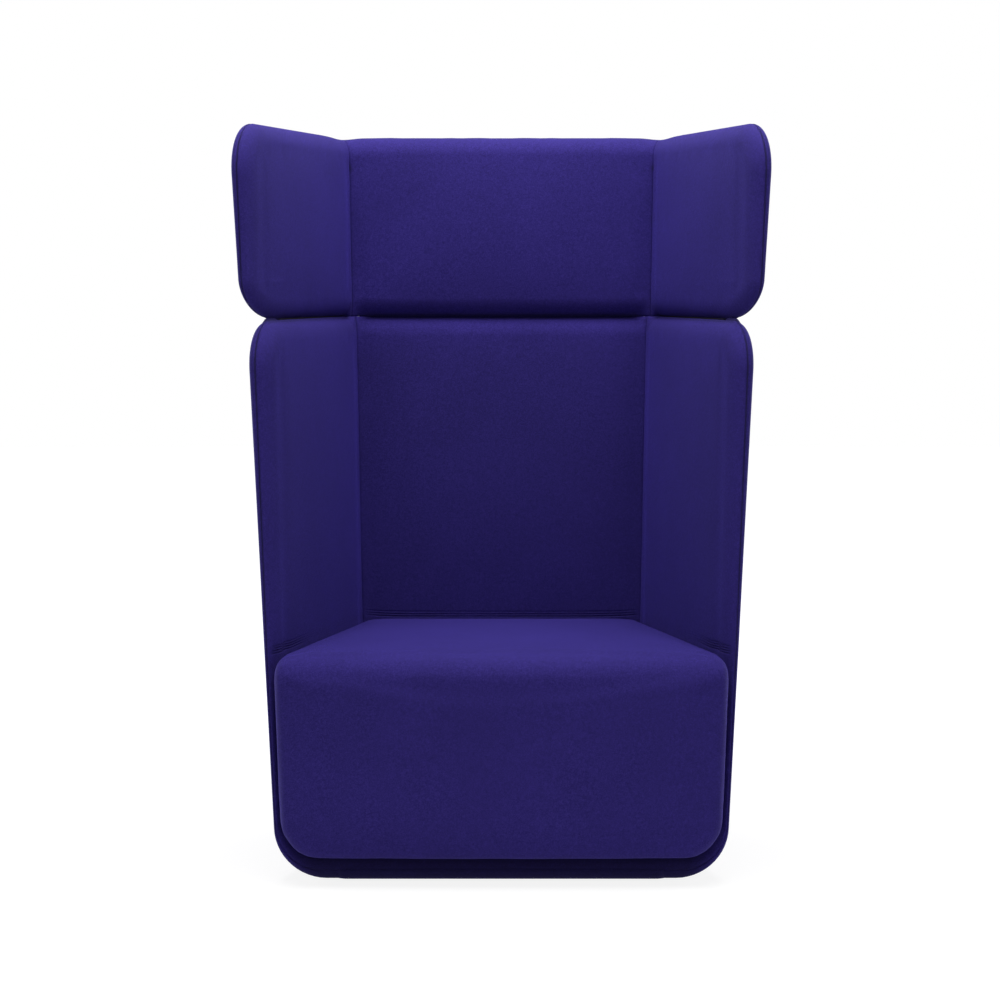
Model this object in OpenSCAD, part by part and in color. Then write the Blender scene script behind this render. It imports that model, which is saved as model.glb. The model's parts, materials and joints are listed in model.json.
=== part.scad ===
/* [Overall] */
// Height of the top edge of the shell
shell_top = 1036; // [1000:1:1060]
// Height of the head section, from its lower edge to its top
head_height = 360; // [340:1:380]
// Height of the middle of the seat's edge
seat_top = 430; // [410:1:450]
// Clear space between the shell's underside and the floor
ground_gap = 4; // [3:0.5:8]

/* [Shell] */
// Half width over the walls' front edges, taken down to the floor
shell_front_half = 420.5; // [400:0.5:440]
// Outward lean of the walls in degrees
shell_lean = 2.7; // [2:0.1:4]
// Angle in plan between a wall and the chair's middle line, in degrees
shell_splay = 12.7; // [11:0.1:14]
// Thickness of the walls at their front edge, at seat height
shell_front_wall = 24; // [22:0.5:30]
// The same at the shell's top edge
shell_front_wall_top = 45; // [38:1:50]
// Thickness of the walls at the back's corners, at seat height
shell_rear_wall = 45; // [42:1:52]
// The same at the shell's top edge
shell_rear_wall_top = 50; // [44:1:56]
// How far the walls' front edges stand behind the seat's front face
wall_setback = 58; // [45:1:70]
// Depth of the seat from its front face to the back, at seat height
seat_depth = 565; // [540:1:590]
// Recline of the back in degrees
back_recline = 4.8; // [4:0.1:7]
// Thickness of the upholstered back
back_thick = 60; // [54:1:70]
// Radius of the rear corners in plan
rear_radius = 70; // [60:1:76]
// Radius of the shell's lower side edges
side_bend = 98; // [90:1:115]
// Radius of the shell's lower rear edge
rear_bend = 50; // [35:1:60]
// Radius of the walls' upper front corner, seen from the side
shell_corner = 88; // [75:1:100]
// How much the inner faces draw in for each millimetre below the seat
inner_draw = 0.035; // [0.03:0.005:0.06]
// Width of the flat flange past the lower bends
bend_flat = 34; // [28:1:40]

/* [Head section] */
// Open line between the shell and the head section
head_gap = 4; // [3:0.5:8]
// How much further out each wing stands than the shell's wall where they meet
head_overhang = 10; // [6:1:16]
// Outward lean of the wings in degrees
head_lean = 3.35; // [2.5:0.05:4.5]
// Angle in plan between a wing and the chair's middle line, in degrees
head_splay = 13.5; // [12:0.1:15]
// Thickness of the wings at their front edge, at the lower edge
head_front_wall = 24; // [22:0.5:30]
// Thickness of the wings at the back's corners, at the lower edge
head_rear_wall = 43; // [42:1:50]
// The same at the top edge
head_rear_wall_top = 50; // [44:1:56]
// Radius of the wings' upper front corner, seen from the side
head_corner = 97; // [80:1:105]
// Radius of the wings' lower front corner, seen from the side
head_lower_corner = 110; // [90:1:120]

/* [Upholstery] */
// Thickness of the fabric with its backing
cover = 1.5; // [1:0.1:2]
// Thickness of the padding outside the boards
outer_pad = 4; // [3:0.5:5]
// Thickness of the plywood
board = 12; // [10:0.5:13]
// Rounding of the rim, measured from the edge over the inner face
rim_inner = 38; // [28:1:44]
// Rounding of the rim, measured from the edge over the outer face
rim_outer = 24; // [16:1:30]
// Distance of the boards' edges behind the rim
board_setback = 22; // [20:1:24]
// Width of the timber corner posts
post = 42; // [38:1:46]
// Crown of the inner faces
pad_crown = 5; // [2:1:8]
// Clearance of soft pieces from what they lie against
soft_gap = 0.3; // [0.2:0.05:0.5]

/* [Seat] */
// Height of the seat block's lower edge
seat_bottom = 57; // [50:1:62]
// Rise of the seat's crown over its edge
seat_crown = 9; // [4:1:14]
// Bulge of the seat's front face
front_crown = 7; // [3:1:10]
// Radius of the seat's upper front edge
seat_edge = 46; // [36:1:56]
// Radius of the seat's upper edges along the walls
seat_side_edge = 24; // [18:1:34]
// Radius of the seat block's lower side corners
seat_low_corner = 84; // [78:1:95]
// How far the walls' inner covers reach below the seat's edge
tuck_depth = 50; // [40:1:70]
// Clearance between the seat block and the walls
seat_gap = 1.5; // [1:0.5:4]
// Height of the seat frame's upper edge
frame_top = 296; // [280:1:310]
// Thickness of the seat frame's panels
rail = 18; // [15:1:22]
// Width of a webbing strap
strap = 50; // [40:1:60]

/* [Base and glides] */
// Distance of the front glides from the line of the walls' outer faces at the floor
glide_front_side = 212; // [200:1:230]
// Place of the rear glides between the middle line and that line, as a share
glide_rear_share = 0.322; // [0.3:0.002:0.34]
// Distance of the front glides behind the base's front rail
glide_front_in = 28; // [26:1:40]
// Distance of the rear glides in front of the lower rear edge
glide_rear_in = 82; // [75:1:100]
// Radius of a glide's foot
foot_radius = 20; // [16:1:24]
// Radius of a glide's stem
stem_radius = 4; // [3:0.5:5]
// Length of a stem that stays in its nut and block when the glide is screwed out
stem_hold = 26; // [22:1:30]
// How far a glide screws out
glide_travel = 10; // [6:1:12]
// Running clearance of a stem in its nut
stem_clear = 0.05; // [0.03:0.01:0.09]
// Radius of the steel spigots that carry the head section
spigot_radius = 6; // [5:0.5:7]
// Length of a spigot on each side of the open line
spigot_reach = 110; // [90:1:130]

/* [Hidden] */
glide_names = ["front_left", "front_right", "rear_left", "rear_right"];
$fn = 48;

fabric_colour = [0.17, 0.13, 0.42];
foam_colour = [0.93, 0.89, 0.74];
wood_colour = [0.80, 0.66, 0.46];
steel_colour = [0.72, 0.73, 0.75];
plastic_colour = [0.10, 0.10, 0.11];
felt_colour = [0.16, 0.16, 0.17];

// Slopes of the faces, as run for each millimetre of rise or depth
shell_lean_run = tan(shell_lean);
head_lean_run = tan(head_lean);
shell_splay_run = tan(shell_splay);
head_splay_run = tan(head_splay);
recline_run = tan(back_recline);

// Planes that other pieces are set from
head_bottom = shell_top + head_gap;
head_top = head_bottom + head_height;
chair_depth = front_crown + seat_depth + recline_run * (head_top - rim_outer - seat_top) + back_thick;
seat_front = front_crown - chair_depth / 2;
wall_front = seat_front + wall_setback;
seat_back = seat_front + seat_depth;
open_middle = shell_top + head_gap / 2;
bend_top = ground_gap + side_bend;
head_low_half = shell_front_half + shell_lean_run * shell_top + head_overhang;
glide_front_half = shell_front_half - glide_front_side;
glide_rear_half = shell_front_half * glide_rear_share;
board_out = cover + outer_pad;
pad_inset = cover + soft_gap;
board_in = board_out + board;
base_under = ground_gap + board_out;
base_over = base_under + board;
tuck_height = seat_top - tuck_depth;
overrun = 1;

// Where the seam runs across the rim, as a share of the wall from its inner to its outer face
seam_share = 0.62;
// Where the outer path leaves the straight, as a share of the wall's and of the back's path
straight_share = 0.86;

// Opening between the covers at their seam, as a share of the wall's thickness
seam_open_share = 0.004;
// Stations over the rim's rounding, as distances from the edge
rim_places = [0, rim_outer / 10, rim_outer / 2.6, board_setback - pad_inset - 2 * soft_gap, rim_inner];
// Stations along the wall, round the corner and across the back, as shares of the path
wall_shares = [0.33, 0.6, straight_share, (1 + straight_share) / 2, 1];
back_shares = [1, (3 - straight_share) / 2, 2 - straight_share, 1.6, 2];
// Angles of the rounded corners' stations
corner_angles = [0, 25, 45, 62, 76, 90];
bend_angles = [18, 36, 54, 72, 90];

function mix(a, b, t) = a + (b - a) * t;
function unit(v) = v / norm(v);
function mirrored(p) = [-p[0], p[1], p[2]];
function flat(rows) = [for (row = rows) each row];
function mean(points) = [for (i = [0:2]) let (all = [for (p = points) p[i]]) sum(all) / len(all)];
function sum(values, i = 0) = i < len(values) ? values[i] + sum(values, i + 1) : 0;
// A quarter-round profile: 0 at the edge and 1 from a distance of one radius on
function rounding(t) = t >= 1 ? 1 : sqrt(max(0, 1 - (1 - t) * (1 - t)));
// Drop of a rounded edge of radius r, at a distance d from where the rounding ends
function fillet_drop(r, d) = d <= 0 ? 0 : r - sqrt(max(0, r * r - min(d, r) * min(d, r)));

// Outer half width of the shell or the head section at a depth and a height
function outer_half(head, y, z) = head
    ? head_low_half + head_lean_run * (z - head_bottom) - head_splay_run * (y - wall_front)
    : shell_front_half + shell_lean_run * z - shell_splay_run * (y - wall_front);

// Inner half width at the walls' front edges, from the thickness of the walls there
shell_inner_seat = outer_half(false, wall_front, seat_top) - shell_front_wall;
shell_inner_top = outer_half(false, wall_front, shell_top) - shell_front_wall_top;
function inner_front(head, z) = head ? head_low_half - head_front_wall
    : z < seat_top ? shell_inner_seat - inner_draw * (seat_top - z)
    : mix(shell_inner_seat, shell_inner_top, (z - seat_top) / (shell_top - seat_top));

// Depth of the inner back, and of the outer back
function back_face(z) = seat_back + recline_run * (z - seat_top);
function back_outer(z) = back_face(z) + back_thick;

// Inner half width at the back's corners, from the thickness of the walls there
function corner_at(head, z, wall) = outer_half(head, back_face(z), z) - wall;
shell_corner_seat = corner_at(false, seat_top, shell_rear_wall);
shell_corner_top = corner_at(false, shell_top, shell_rear_wall_top);
head_corner_low = corner_at(true, head_bottom, head_rear_wall);
head_corner_top = corner_at(true, head_top, head_rear_wall_top);
function corner_half(head, z) = head
    ? mix(head_corner_low, head_corner_top, (z - head_bottom) / head_height)
    : mix(shell_corner_seat, shell_corner_top, (z - seat_top) / (shell_top - seat_top));
function inner_half(head, y, z) =
    mix(inner_front(head, z), corner_half(head, z), (y - wall_front) / (back_face(z) - wall_front));

function low_edge(head) = head ? head_bottom : ground_gap;
function high_edge(head) = head ? head_top : shell_top;
function high_radius(head) = head ? head_corner : shell_corner;
function low_radius(head) = head ? head_lower_corner : 0;

// Front line of a wall seen from the side, with rounded corners, drawn in by an inset
function front_line(head, z, inset = 0) =
    let (r = high_radius(head), q = low_radius(head))
    wall_front + inset
    + fillet_drop(r - inset, z - (high_edge(head) - r))
    + (head ? fillet_drop(q - inset, low_edge(head) + q - z) : 0);

// Distance of a point of a wall from that outline
function edge_distance(head, y, z, inset = 0) =
    let (r = high_radius(head), q = low_radius(head), front = wall_front + inset)
    y < wall_front + r && z > high_edge(head) - r
    ? r - inset - norm([y - wall_front - r, z - high_edge(head) + r])
    : head && y < wall_front + q && z < low_edge(head) + q
    ? q - inset - norm([y - wall_front - q, z - low_edge(head) - q])
    : min(y - front, high_edge(head) - inset - z, head ? z - low_edge(head) - inset : side_bend);

// Place across the wall, from 0 at the inner face to 1 at the outer one, at a distance from the edge
function across(outer, thick, distance, inset) = outer
    ? mix(seam_share + seam_open_share, 1 - inset / thick, rounding(distance / rim_outer))
    : mix(seam_share - seam_open_share, inset / thick, rounding(distance / rim_inner));

// A place on a path is a distance from its front end and a share: 0 at the front end,
// 1 at the middle of the corner and 2 at the chair's middle
// Point of the outer path in plan
function outer_path(head, z, place, inset = 0, draw = 0, back_draw = 0) =
    let (yb = back_outer(z) - back_draw,
         xb = draw - outer_half(head, yb, z),
         rc = max(rear_radius - draw, cover),
         run = head ? head_splay_run : shell_splay_run,
         cx = xb + rc * (sqrt(1 + run * run) - run),
         cy = yb - rc,
         start = 180 - atan(run),
         middle = (start + 90) / 2,
         s = place[1],
         yf = front_line(head, z, inset))
    s < straight_share
    ? let (y = place[0] + mix(yf, cy + rc * sin(start), s / straight_share))
      [draw - outer_half(head, y, z), y]
    : s < 1
    ? let (a = mix(start, middle, (s - straight_share) / (1 - straight_share)))
      [cx + rc * cos(a), cy + rc * sin(a)]
    : s < 2 - straight_share
    ? let (a = mix(middle, 90, (s - 1) / (1 - straight_share)))
      [cx + rc * cos(a), cy + rc * sin(a)]
    : mix([cx, yb], [0, yb], (s - 2 + straight_share) / straight_share);

// Point of the inner path, with the faces' crown
function inner_path(head, z, place, inset = 0) =
    let (yf = front_line(head, z, inset),
         yc = back_face(z),
         s = place[1] + place[0] / (yc - yf),
         low = head ? head_bottom : tuck_height,
         rise = sin(180 * max(0, min(1, (z - low) / (high_edge(head) - low)))))
    s <= 1
    ? let (y = mix(yf, yc, s)) [pad_crown * rise * sin(180 * s) - inner_half(head, y, z), y]
    : [-corner_half(head, z) * (2 - s), yc - pad_crown * rise * sin(90 * (s - 1)) * 2];

// Point of the upholstered surface
function skin(head, outer, place, z, inset = 0) =
    let (z1 = min(z, high_edge(head) - inset),
         z2 = head ? max(z1, low_edge(head) + inset) : z1,
         o = outer_path(head, z2, place, inset),
         i = inner_path(head, z2, place, inset),
         d = place[1] < 1
             ? edge_distance(head, i[1], z2, inset)
             : min(high_edge(head) - inset - z2, head ? z2 - low_edge(head) - inset : side_bend),
         n = across(outer, norm(o - i), d, inset),
         p = mix(i, o, n))
    [p[0], p[1], z2];

// Thickness of the basket's wall at a depth, round its lower bend
function bend_thick(y, angle) = mix(outer_half(false, y, bend_top) - inner_half(false, y, bend_top),
                                    seat_bottom - ground_gap, angle / 90);
// Distance of the basket's outer surface or its band from the outer face, at a distance from the front edge
function bend_in(outer, e, angle, inset) =
    let (thick = bend_thick(wall_front + e, angle)) (1 - across(outer, thick, e, inset)) * thick;

// Point of the outer surface round the lower bend
function bend_skin(place, angle, inset = 0) =
    let (in = place[1] > 0 ? inset : bend_in(true, place[0], angle, inset),
         r = side_bend - in,
         z = bend_top - r * sin(angle),
         back_draw = fillet_drop(rear_bend - in, ground_gap + rear_bend - z) + in,
         p = outer_path(false, bend_top, place, inset, side_bend - r * cos(angle), back_draw))
    [p[0], p[1], z];

// Point of the flange turned under the base
function flange_skin(place, inset = 0) =
    let (p = outer_path(false, bend_top, place, inset, side_bend + bend_flat, rear_bend + bend_flat))
    [p[0], p[1], ground_gap + (place[1] > 0 ? inset : bend_in(true, place[0], 90, inset))];

// Heights of the rows between two edges, closer in the rounded corners
function high_rows(head) = [for (a = corner_angles) high_edge(head) - high_radius(head) * (1 - sin(a))];
function low_rows() = [for (i = [len(corner_angles) - 1:-1:0])
    low_edge(true) + head_lower_corner * (1 - sin(corner_angles[i]))];

// Rows of the shell's upholstery over its lower bend, and all rows of its or the head section's
function inner_rows(head) = head ? concat(low_rows(), high_rows(true))
    : concat([tuck_height, seat_top, mix(seat_top, shell_top - shell_corner, 1 / 2)], high_rows(false));
// Rows that the paddings keep, clear of the rims
function pad_rows(head) =
    let (all = inner_rows(head), cut = len(corner_angles) / 2)
    [for (i = [head ? cut : 0:len(all) - 1 - cut]) all[i]];

// Places along the left wall, and across the left half of the back
function rim_stations() = [for (e = rim_places) [e, 0]];
function share_stations(shares) = [for (t = shares) [0, t]];
function wall_stations() = concat(rim_stations(), share_stations(wall_shares));
function half_stations() = concat(wall_stations(), [for (i = [1:len(back_shares) - 1]) [0, back_shares[i]]]);

// Both halves of a grid whose last column lies on the chair's middle plane
function both_halves(rows) = [for (row = rows)
    concat(row, [for (i = [len(row) - 2:-1:0]) mirrored(row[i])])];

// Closed sheet between two grids of points: the first is its outer face, and faces away from the second
module sheet(a, b) {
    rows = len(a);
    cols = len(a[0]);
    i = floor(rows / 2);
    j = floor(cols / 3);
    out = cross(a[i][j + 1] - a[i][j], a[i - 1][j] - a[i][j]) * (a[i][j] - b[i][j]) > 0;
    count = rows * cols;
    // Both halves of a mirrored grid are split along mirrored diagonals
    half = a[0][0][0] == -a[0][cols - 1][0] ? floor(cols / 2) : cols;
    function at(r, c, k) = k * count + r * cols + c;
    function quad(p, q, r, s) = out ? [[p, q, r], [p, r, s]] : [[p, r, q], [p, s, r]];
    function cell(r, c, k) = let (near = [at(r, c, k), at(r, c + 1, k), at(r + 1, c + 1, k), at(r + 1, c, k)],
                                  turned = c < half ? near : [near[1], near[2], near[3], near[0]])
        k == 0 ? quad(turned[0], turned[1], turned[2], turned[3])
               : quad(turned[0], turned[3], turned[2], turned[1]);
    polyhedron(points = concat(flat(a), flat(b)), faces = concat(
        [for (k = [0, 1], r = [0:rows - 2], c = [0:cols - 2]) each cell(r, c, k)],
        [for (c = [0:cols - 2])
            each quad(at(0, c, 1), at(0, c + 1, 1), at(0, c + 1, 0), at(0, c, 0))],
        [for (c = [0:cols - 2])
            each quad(at(rows - 1, c, 0), at(rows - 1, c + 1, 0), at(rows - 1, c + 1, 1),
                      at(rows - 1, c, 1))],
        [for (r = [0:rows - 2])
            each quad(at(r, 0, 0), at(r + 1, 0, 0), at(r + 1, 0, 1), at(r, 0, 1))],
        [for (r = [0:rows - 2])
            each quad(at(r, cols - 1, 0), at(r, cols - 1, 1), at(r + 1, cols - 1, 1),
                      at(r + 1, cols - 1, 0))]));
}

// Closed plate between two convex loops of points that match
module plate(a, b) {
    n = len(a);
    out = cross(a[1] - a[0], a[n - 1] - a[0]) * (b[0] - a[0]) > 0;
    function tri(p, q, r) = out ? [p, q, r] : [p, r, q];
    polyhedron(points = concat(a, b), faces = concat(
        [for (i = [1:n - 2]) tri(0, i, i + 1)],
        [for (i = [1:n - 2]) tri(n, n + i + 1, n + i)],
        [for (i = [0:n - 1]) let (k = (i + 1) % n) tri(i, n + i, n + k)],
        [for (i = [0:n - 1]) let (k = (i + 1) % n) tri(i, n + k, k)]));
}

// Closed solid through rings of points, each anticlockwise from above and higher than the last
module stack(rings) {
    n = len(rings[0]);
    m = len(rings);
    points = concat(flat(rings), [mean(rings[0]), mean(rings[m - 1])]);
    polyhedron(points = points, faces = concat(
        [for (r = [0:m - 2], i = [0:n - 1]) let (k = (i + 1) % n)
            each [[r * n + i, (r + 1) * n + k, r * n + k], [r * n + i, (r + 1) * n + i, (r + 1) * n + k]]],
        [for (i = [0:n - 1]) [m * n, i, (i + 1) % n]],
        [for (i = [0:n - 1]) [m * n + 1, (m - 1) * n + (i + 1) % n, (m - 1) * n + i]]));
}

// Closed cover, open at its lower edge, between an outer and an inner set of rings
module cup(outer, inner) {
    n = len(outer[0]);
    m = len(outer);
    base = m * n;
    tops = [2 * base, 2 * base + 1];
    points = concat(flat(outer), flat(inner), [mean(outer[m - 1]), mean(inner[m - 1])]);
    polyhedron(points = points, faces = concat(
        [for (r = [0:m - 2], i = [0:n - 1]) let (k = (i + 1) % n)
            each [[r * n + i, (r + 1) * n + k, r * n + k], [r * n + i, (r + 1) * n + i, (r + 1) * n + k]]],
        [for (r = [0:m - 2], i = [0:n - 1]) let (k = (i + 1) % n)
            each [[base + r * n + i, base + r * n + k, base + (r + 1) * n + k],
                  [base + r * n + i, base + (r + 1) * n + k, base + (r + 1) * n + i]]],
        [for (i = [0:n - 1]) [tops[0], (m - 1) * n + (i + 1) % n, (m - 1) * n + i]],
        [for (i = [0:n - 1]) [tops[1], base + (m - 1) * n + i, base + (m - 1) * n + (i + 1) % n]],
        [for (i = [0:n - 1]) let (k = (i + 1) % n) each [[i, k, base + k], [i, base + k, base + i]]]));
}

// Round bar between two points
module rod(p, q, r, r2) {
    v = q - p;
    translate(p) rotate([0, acos(v[2] / norm(v)), atan2(v[1], v[0])])
        cylinder(h = norm(v), r1 = r, r2 = is_undef(r2) ? r : r2);
}

module on_both_sides() {
    children();
    mirror([1, 0, 0]) children();
}

// Boards
// Where the boards of the walls and of the back end before the rounded corner
function rear_end(z) = back_outer(z) - board_out - rear_radius / 2;
function back_end(head, z) = outer_half(head, back_outer(z) - board_out, z) - board_out - rear_radius / 2;
function flange_end() = back_outer(ground_gap) - rear_bend - bend_flat;
function flange_half(y) = outer_half(false, y, bend_top) - side_bend - bend_flat;

// Rows of a wall's board, from its lower edge up: front end, rear end, distance from the outer plane
function wall_rows(head) =
    let (high = high_edge(head) - board_setback, r = high_radius(head) - board_setback,
         front = wall_front + board_setback)
    [for (a = corner_angles) let (z = high - r * (1 - sin(a))) [front + r * (1 - cos(a)), rear_end(z), z]];
function head_low_rows() =
    let (low = head_bottom + board_setback, q = head_lower_corner - board_setback,
         front = wall_front + board_setback)
    [for (i = [len(corner_angles) - 1:-1:0])
        let (a = corner_angles[i], z = low + q * (1 - sin(a))) [front + q * (1 - cos(a)), rear_end(z), z]];
function wall_board_grid(head, rows, depth) = [for (row = rows)
    [for (y = [row[0], row[1]]) [depth - outer_half(head, y, row[2]), y, row[2]]]];
// Rows of the moulded side's lower bend, from the flange up
function bend_grid(depth) =
    let (front = wall_front + board_setback, r = side_bend - depth)
    concat([[for (y = [front, flange_end()]) [-flange_half(y), y, ground_gap + depth]]],
           [for (i = [len(bend_angles) - 1:-1:0])
               let (a = bend_angles[i], rear = mix(rear_end(bend_top), flange_end(), a / 90))
               [for (y = [front, rear]) [side_bend - r * cos(a) - outer_half(false, y, bend_top), y,
                                         bend_top - r * sin(a)]]],
           [[for (y = [front, rear_end(bend_top)])
               [depth - outer_half(false, y, bend_top), y, bend_top]]]);
function side_shell_grid(depth) = concat(bend_grid(depth), wall_board_grid(false, wall_rows(false), depth));

module side_shell() {
    color(wood_colour) difference() {
        sheet(side_shell_grid(board_out), side_shell_grid(board_in));
        post_side_screws(false, screw_clear);
    }
}
module side_shell_left() side_shell();
module side_shell_right() mirror([1, 0, 0]) side_shell();

// Rows of the moulded back, from its flange up
function back_shell_grid(depth) =
    let (r = rear_bend - depth, bend_z = ground_gap + rear_bend, y0 = back_outer(bend_z) - rear_bend,
         high = shell_top - board_setback)
    concat([let (w = flange_half(flange_end()))
               [for (x = [-w, 0, w]) [x, y0 - bend_flat, ground_gap + depth]]],
           [for (i = [len(bend_angles) - 1:-1:0])
               let (a = bend_angles[i],
                    w = mix(back_end(false, bend_z) - fillet_drop(side_bend, bend_top - bend_z),
                            flange_half(flange_end()), a / 90))
               [for (x = [-w, 0, w]) [x, y0 + r * cos(a), bend_z - r * sin(a)]]],
           [for (z = [bend_z, bend_top, high])
               let (w = back_end(false, z) - fillet_drop(side_bend, bend_top - z))
               [for (x = [-w, 0, w]) [x, back_outer(z) - depth, z]]]);
module back_shell() {
    color(wood_colour) difference() {
        sheet(back_shell_grid(board_out), back_shell_grid(board_in));
        on_both_sides() post_back_screws(false, screw_clear);
    }
}

module base_board() {
    front = wall_front + board_setback;
    rear = flange_end();
    color(wood_colour) difference() {
        translate([0, 0, base_under]) linear_extrude(board)
            polygon([[-flange_half(front), front], [flange_half(front), front],
                     [flange_half(rear), rear], [-flange_half(rear), rear]]);
        at_glides() translate([0, 0, base_under - overrun]) cylinder(h = board + 2 * overrun, r = nut_radius);
        at_seat_bolts() translate([0, 0, base_under - overrun])
            cylinder(h = board + 2 * overrun, r = bolt_hole);
    }
}

// Strips that join the base board to the flanges of the sides and of the back
module joint_strips() {
    front = wall_front + board_setback + strip_width;
    rear = flange_end() - strip_width;
    half = strip_width / 2;
    block = block_size + 2 * soft_gap;
    color(wood_colour) translate([0, 0, base_over]) linear_extrude(strip_thick) difference() {
        for (side = [-1, 1])
            polygon([[side * (flange_half(front) - half), front], [side * (flange_half(front) + half), front],
                     [side * (flange_half(rear) + half), rear], [side * (flange_half(rear) - half), rear]]);
        at_glides() square([block, block], center = true);
    }
    color(wood_colour) translate([-glide_rear_half + strip_width, flange_end() - half, base_over])
        cube([2 * glide_rear_half - 2 * strip_width, strip_width, strip_thick]);
}

// Corner posts
post_gap = cover + soft_gap;
post_deep = back_thick - board_in - post_gap;
post_low = bend_top;
post_chamfer = 12;
// Distance of the posts' ends from the rims, clear of their rounding
post_setback = rim_inner + post_chamfer;
function post_point(head, z, across, deep) =
    let (y = back_face(z) + post_gap + deep) [board_in + across - outer_half(head, y, z), y, z];
function post_ring(head, z) = [for (c = [[0, 0], [post, 0], [post, post_deep], [post_chamfer, post_deep],
                                         [0, post_deep - post_chamfer]]) post_point(head, z, c[0], c[1])];
function post_bottom(head) = head ? head_bottom + post_setback : post_low;
function post_top(head) = high_edge(head) - post_setback;
module corner_post(head) {
    color(wood_colour) difference() {
        stack([post_ring(head, post_bottom(head)), post_ring(head, post_top(head))]);
        rod(spigot_point((head ? 1 : -1) * (spigot_reach + overrun)), spigot_point(0),
            spigot_radius + spigot_clear);
        post_side_screws(head, 0, false);
        post_back_screws(head, 0, false);
        grub_hole(head);
    }
}
module corner_post_left() corner_post(false);
module corner_post_right() mirror([1, 0, 0]) corner_post(false);
module head_post_left() corner_post(true);
module head_post_right() mirror([1, 0, 0]) corner_post(true);

// Steel spigots on the posts' middle line, across the open line between shell and head section
spigot_clear = 0.1;
// Place of the spigots across the posts, from their outer face
spigot_share = 2 / 3;
function spigot_point(t) =
    let (a = post_point(false, open_middle - spigot_reach, post * spigot_share, post_deep / 2),
         b = post_point(true, open_middle + spigot_reach, post * spigot_share, post_deep / 2))
    mix(a, b, (t + spigot_reach) / (2 * spigot_reach));
module spigot_hole() on_both_sides()
    rod(spigot_point(-spigot_reach), spigot_point(spigot_reach), spigot_radius + soft_gap);
module head_spigots() {
    color(steel_colour) on_both_sides()
        rod(spigot_point(-spigot_reach), spigot_point(spigot_reach), spigot_radius);
}
// Grub screws that lock the spigots, driven from the posts' inner faces
function grub_place(head) = spigot_point((head ? 1 : -1) * (post_setback + spigot_reach) / 2);
function grub_end(head) =
    let (p = grub_place(head)) [post_point(head, p[2], post, post_deep / 2)[0], p[1], p[2]];
module grub_hole(head) rod(grub_place(head), grub_end(head) + [overrun, 0, 0], grub_radius);
module spigot_screw(head)
    rod(grub_place(head) + [spigot_radius + soft_gap, 0, 0], grub_end(head) - [soft_gap, 0, 0], grub_radius);

// Screws that hold the boards to the posts
screw_radius = 2.5;
screw_head = 5;
screw_length = 28;
screw_clear = 0.2;
grub_radius = 4;
screw_count = 4;
head_screw_count = 2;
// Distance of the screws from the boards' ends
screw_inset = 8;
function screw_height(head, i) =
    let (low = (head ? open_middle + spigot_reach : post_bottom(false)) + 2 * screw_inset,
         high = (head ? post_top(true) : open_middle - spigot_reach) - 2 * screw_inset)
    mix(low, high, i / (screw_total(head) - 1));
function screw_total(head) = head ? head_screw_count : screw_count;
module wood_screw(p, v, clear, top = true) {
    if (top) rod(p, p + screw_head * v / 2, screw_head + clear, screw_radius + clear);
    rod(p, p + screw_length * v, screw_radius + clear);
}
module post_side_screws(head, clear, top = true) for (i = [0:screw_total(head) - 1]) {
    z = screw_height(head, i);
    y = rear_end(z) - screw_inset;
    wood_screw([board_out - outer_half(head, y, z), y, z], [1, 0, 0], clear, top);
}
module post_back_screws(head, clear, top = true) for (i = [0:screw_total(head) - 1]) {
    z = screw_height(head, i) + 2 * screw_head;
    wood_screw([screw_inset - back_end(head, z), back_outer(z) - board_out, z], [0, -1, 0], clear, top);
}
module frame_screws() color(steel_colour) on_both_sides() {
    post_side_screws(false, 0);
    post_back_screws(false, 0);
}
module head_screws() color(steel_colour) on_both_sides() {
    post_side_screws(true, 0);
    post_back_screws(true, 0);
    spigot_screw(false);
    spigot_screw(true);
}

// Head section's boards
module head_side_board() {
    rows = concat(head_low_rows(), wall_rows(true));
    color(wood_colour) difference() {
        sheet(wall_board_grid(true, rows, board_out), wall_board_grid(true, rows, board_in));
        post_side_screws(true, screw_clear);
    }
}
module head_side_board_left() head_side_board();
module head_side_board_right() mirror([1, 0, 0]) head_side_board();
module head_back_board() {
    function loop(depth) = [for (c = [[-1, 0], [1, 0], [1, 1], [-1, 1]])
        let (z = c[1] > 0 ? head_top - board_setback : head_bottom + board_setback)
        [c[0] * back_end(true, z), back_outer(z) - depth, z]];
    color(wood_colour) difference() {
        plate(loop(board_out), loop(board_in));
        on_both_sides() post_back_screws(true, screw_clear);
    }
}

// Paddings
// The inner paddings wrap the boards' front edges
function wall_pad_places() = concat([for (i = [1:3]) rim_stations()[i]],
                                    [[board_setback - pad_inset - soft_gap, 0]],
                                    [for (i = [4:len(wall_stations()) - 1]) wall_stations()[i]]);
function pad_back(head, p, depth) = [depth - outer_half(head, p[1], p[2]), p[1], p[2]];
function wall_pad_point(head, k, z, inner) =
    let (place = wall_pad_places()[k],
         face = skin(head, false, place - [0, place[1] == 1 ? corner_seam_share : 0], z, pad_inset))
    inner ? face : k < 3 ? skin(head, true, place, z, pad_inset) : pad_back(head, face, board_in + soft_gap);
function wall_pad_grid(head, inner) = [for (z = pad_rows(head))
    [for (k = [0:len(wall_pad_places()) - 1]) wall_pad_point(head, k, z, inner)]];
module wall_padding(head) color(foam_colour) sheet(wall_pad_grid(head, true), wall_pad_grid(head, false));
module shell_padding_left() wall_padding(false);
module shell_padding_right() mirror([1, 0, 0]) wall_padding(false);
module head_padding_left() wall_padding(true);
module head_padding_right() mirror([1, 0, 0]) wall_padding(true);

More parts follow.
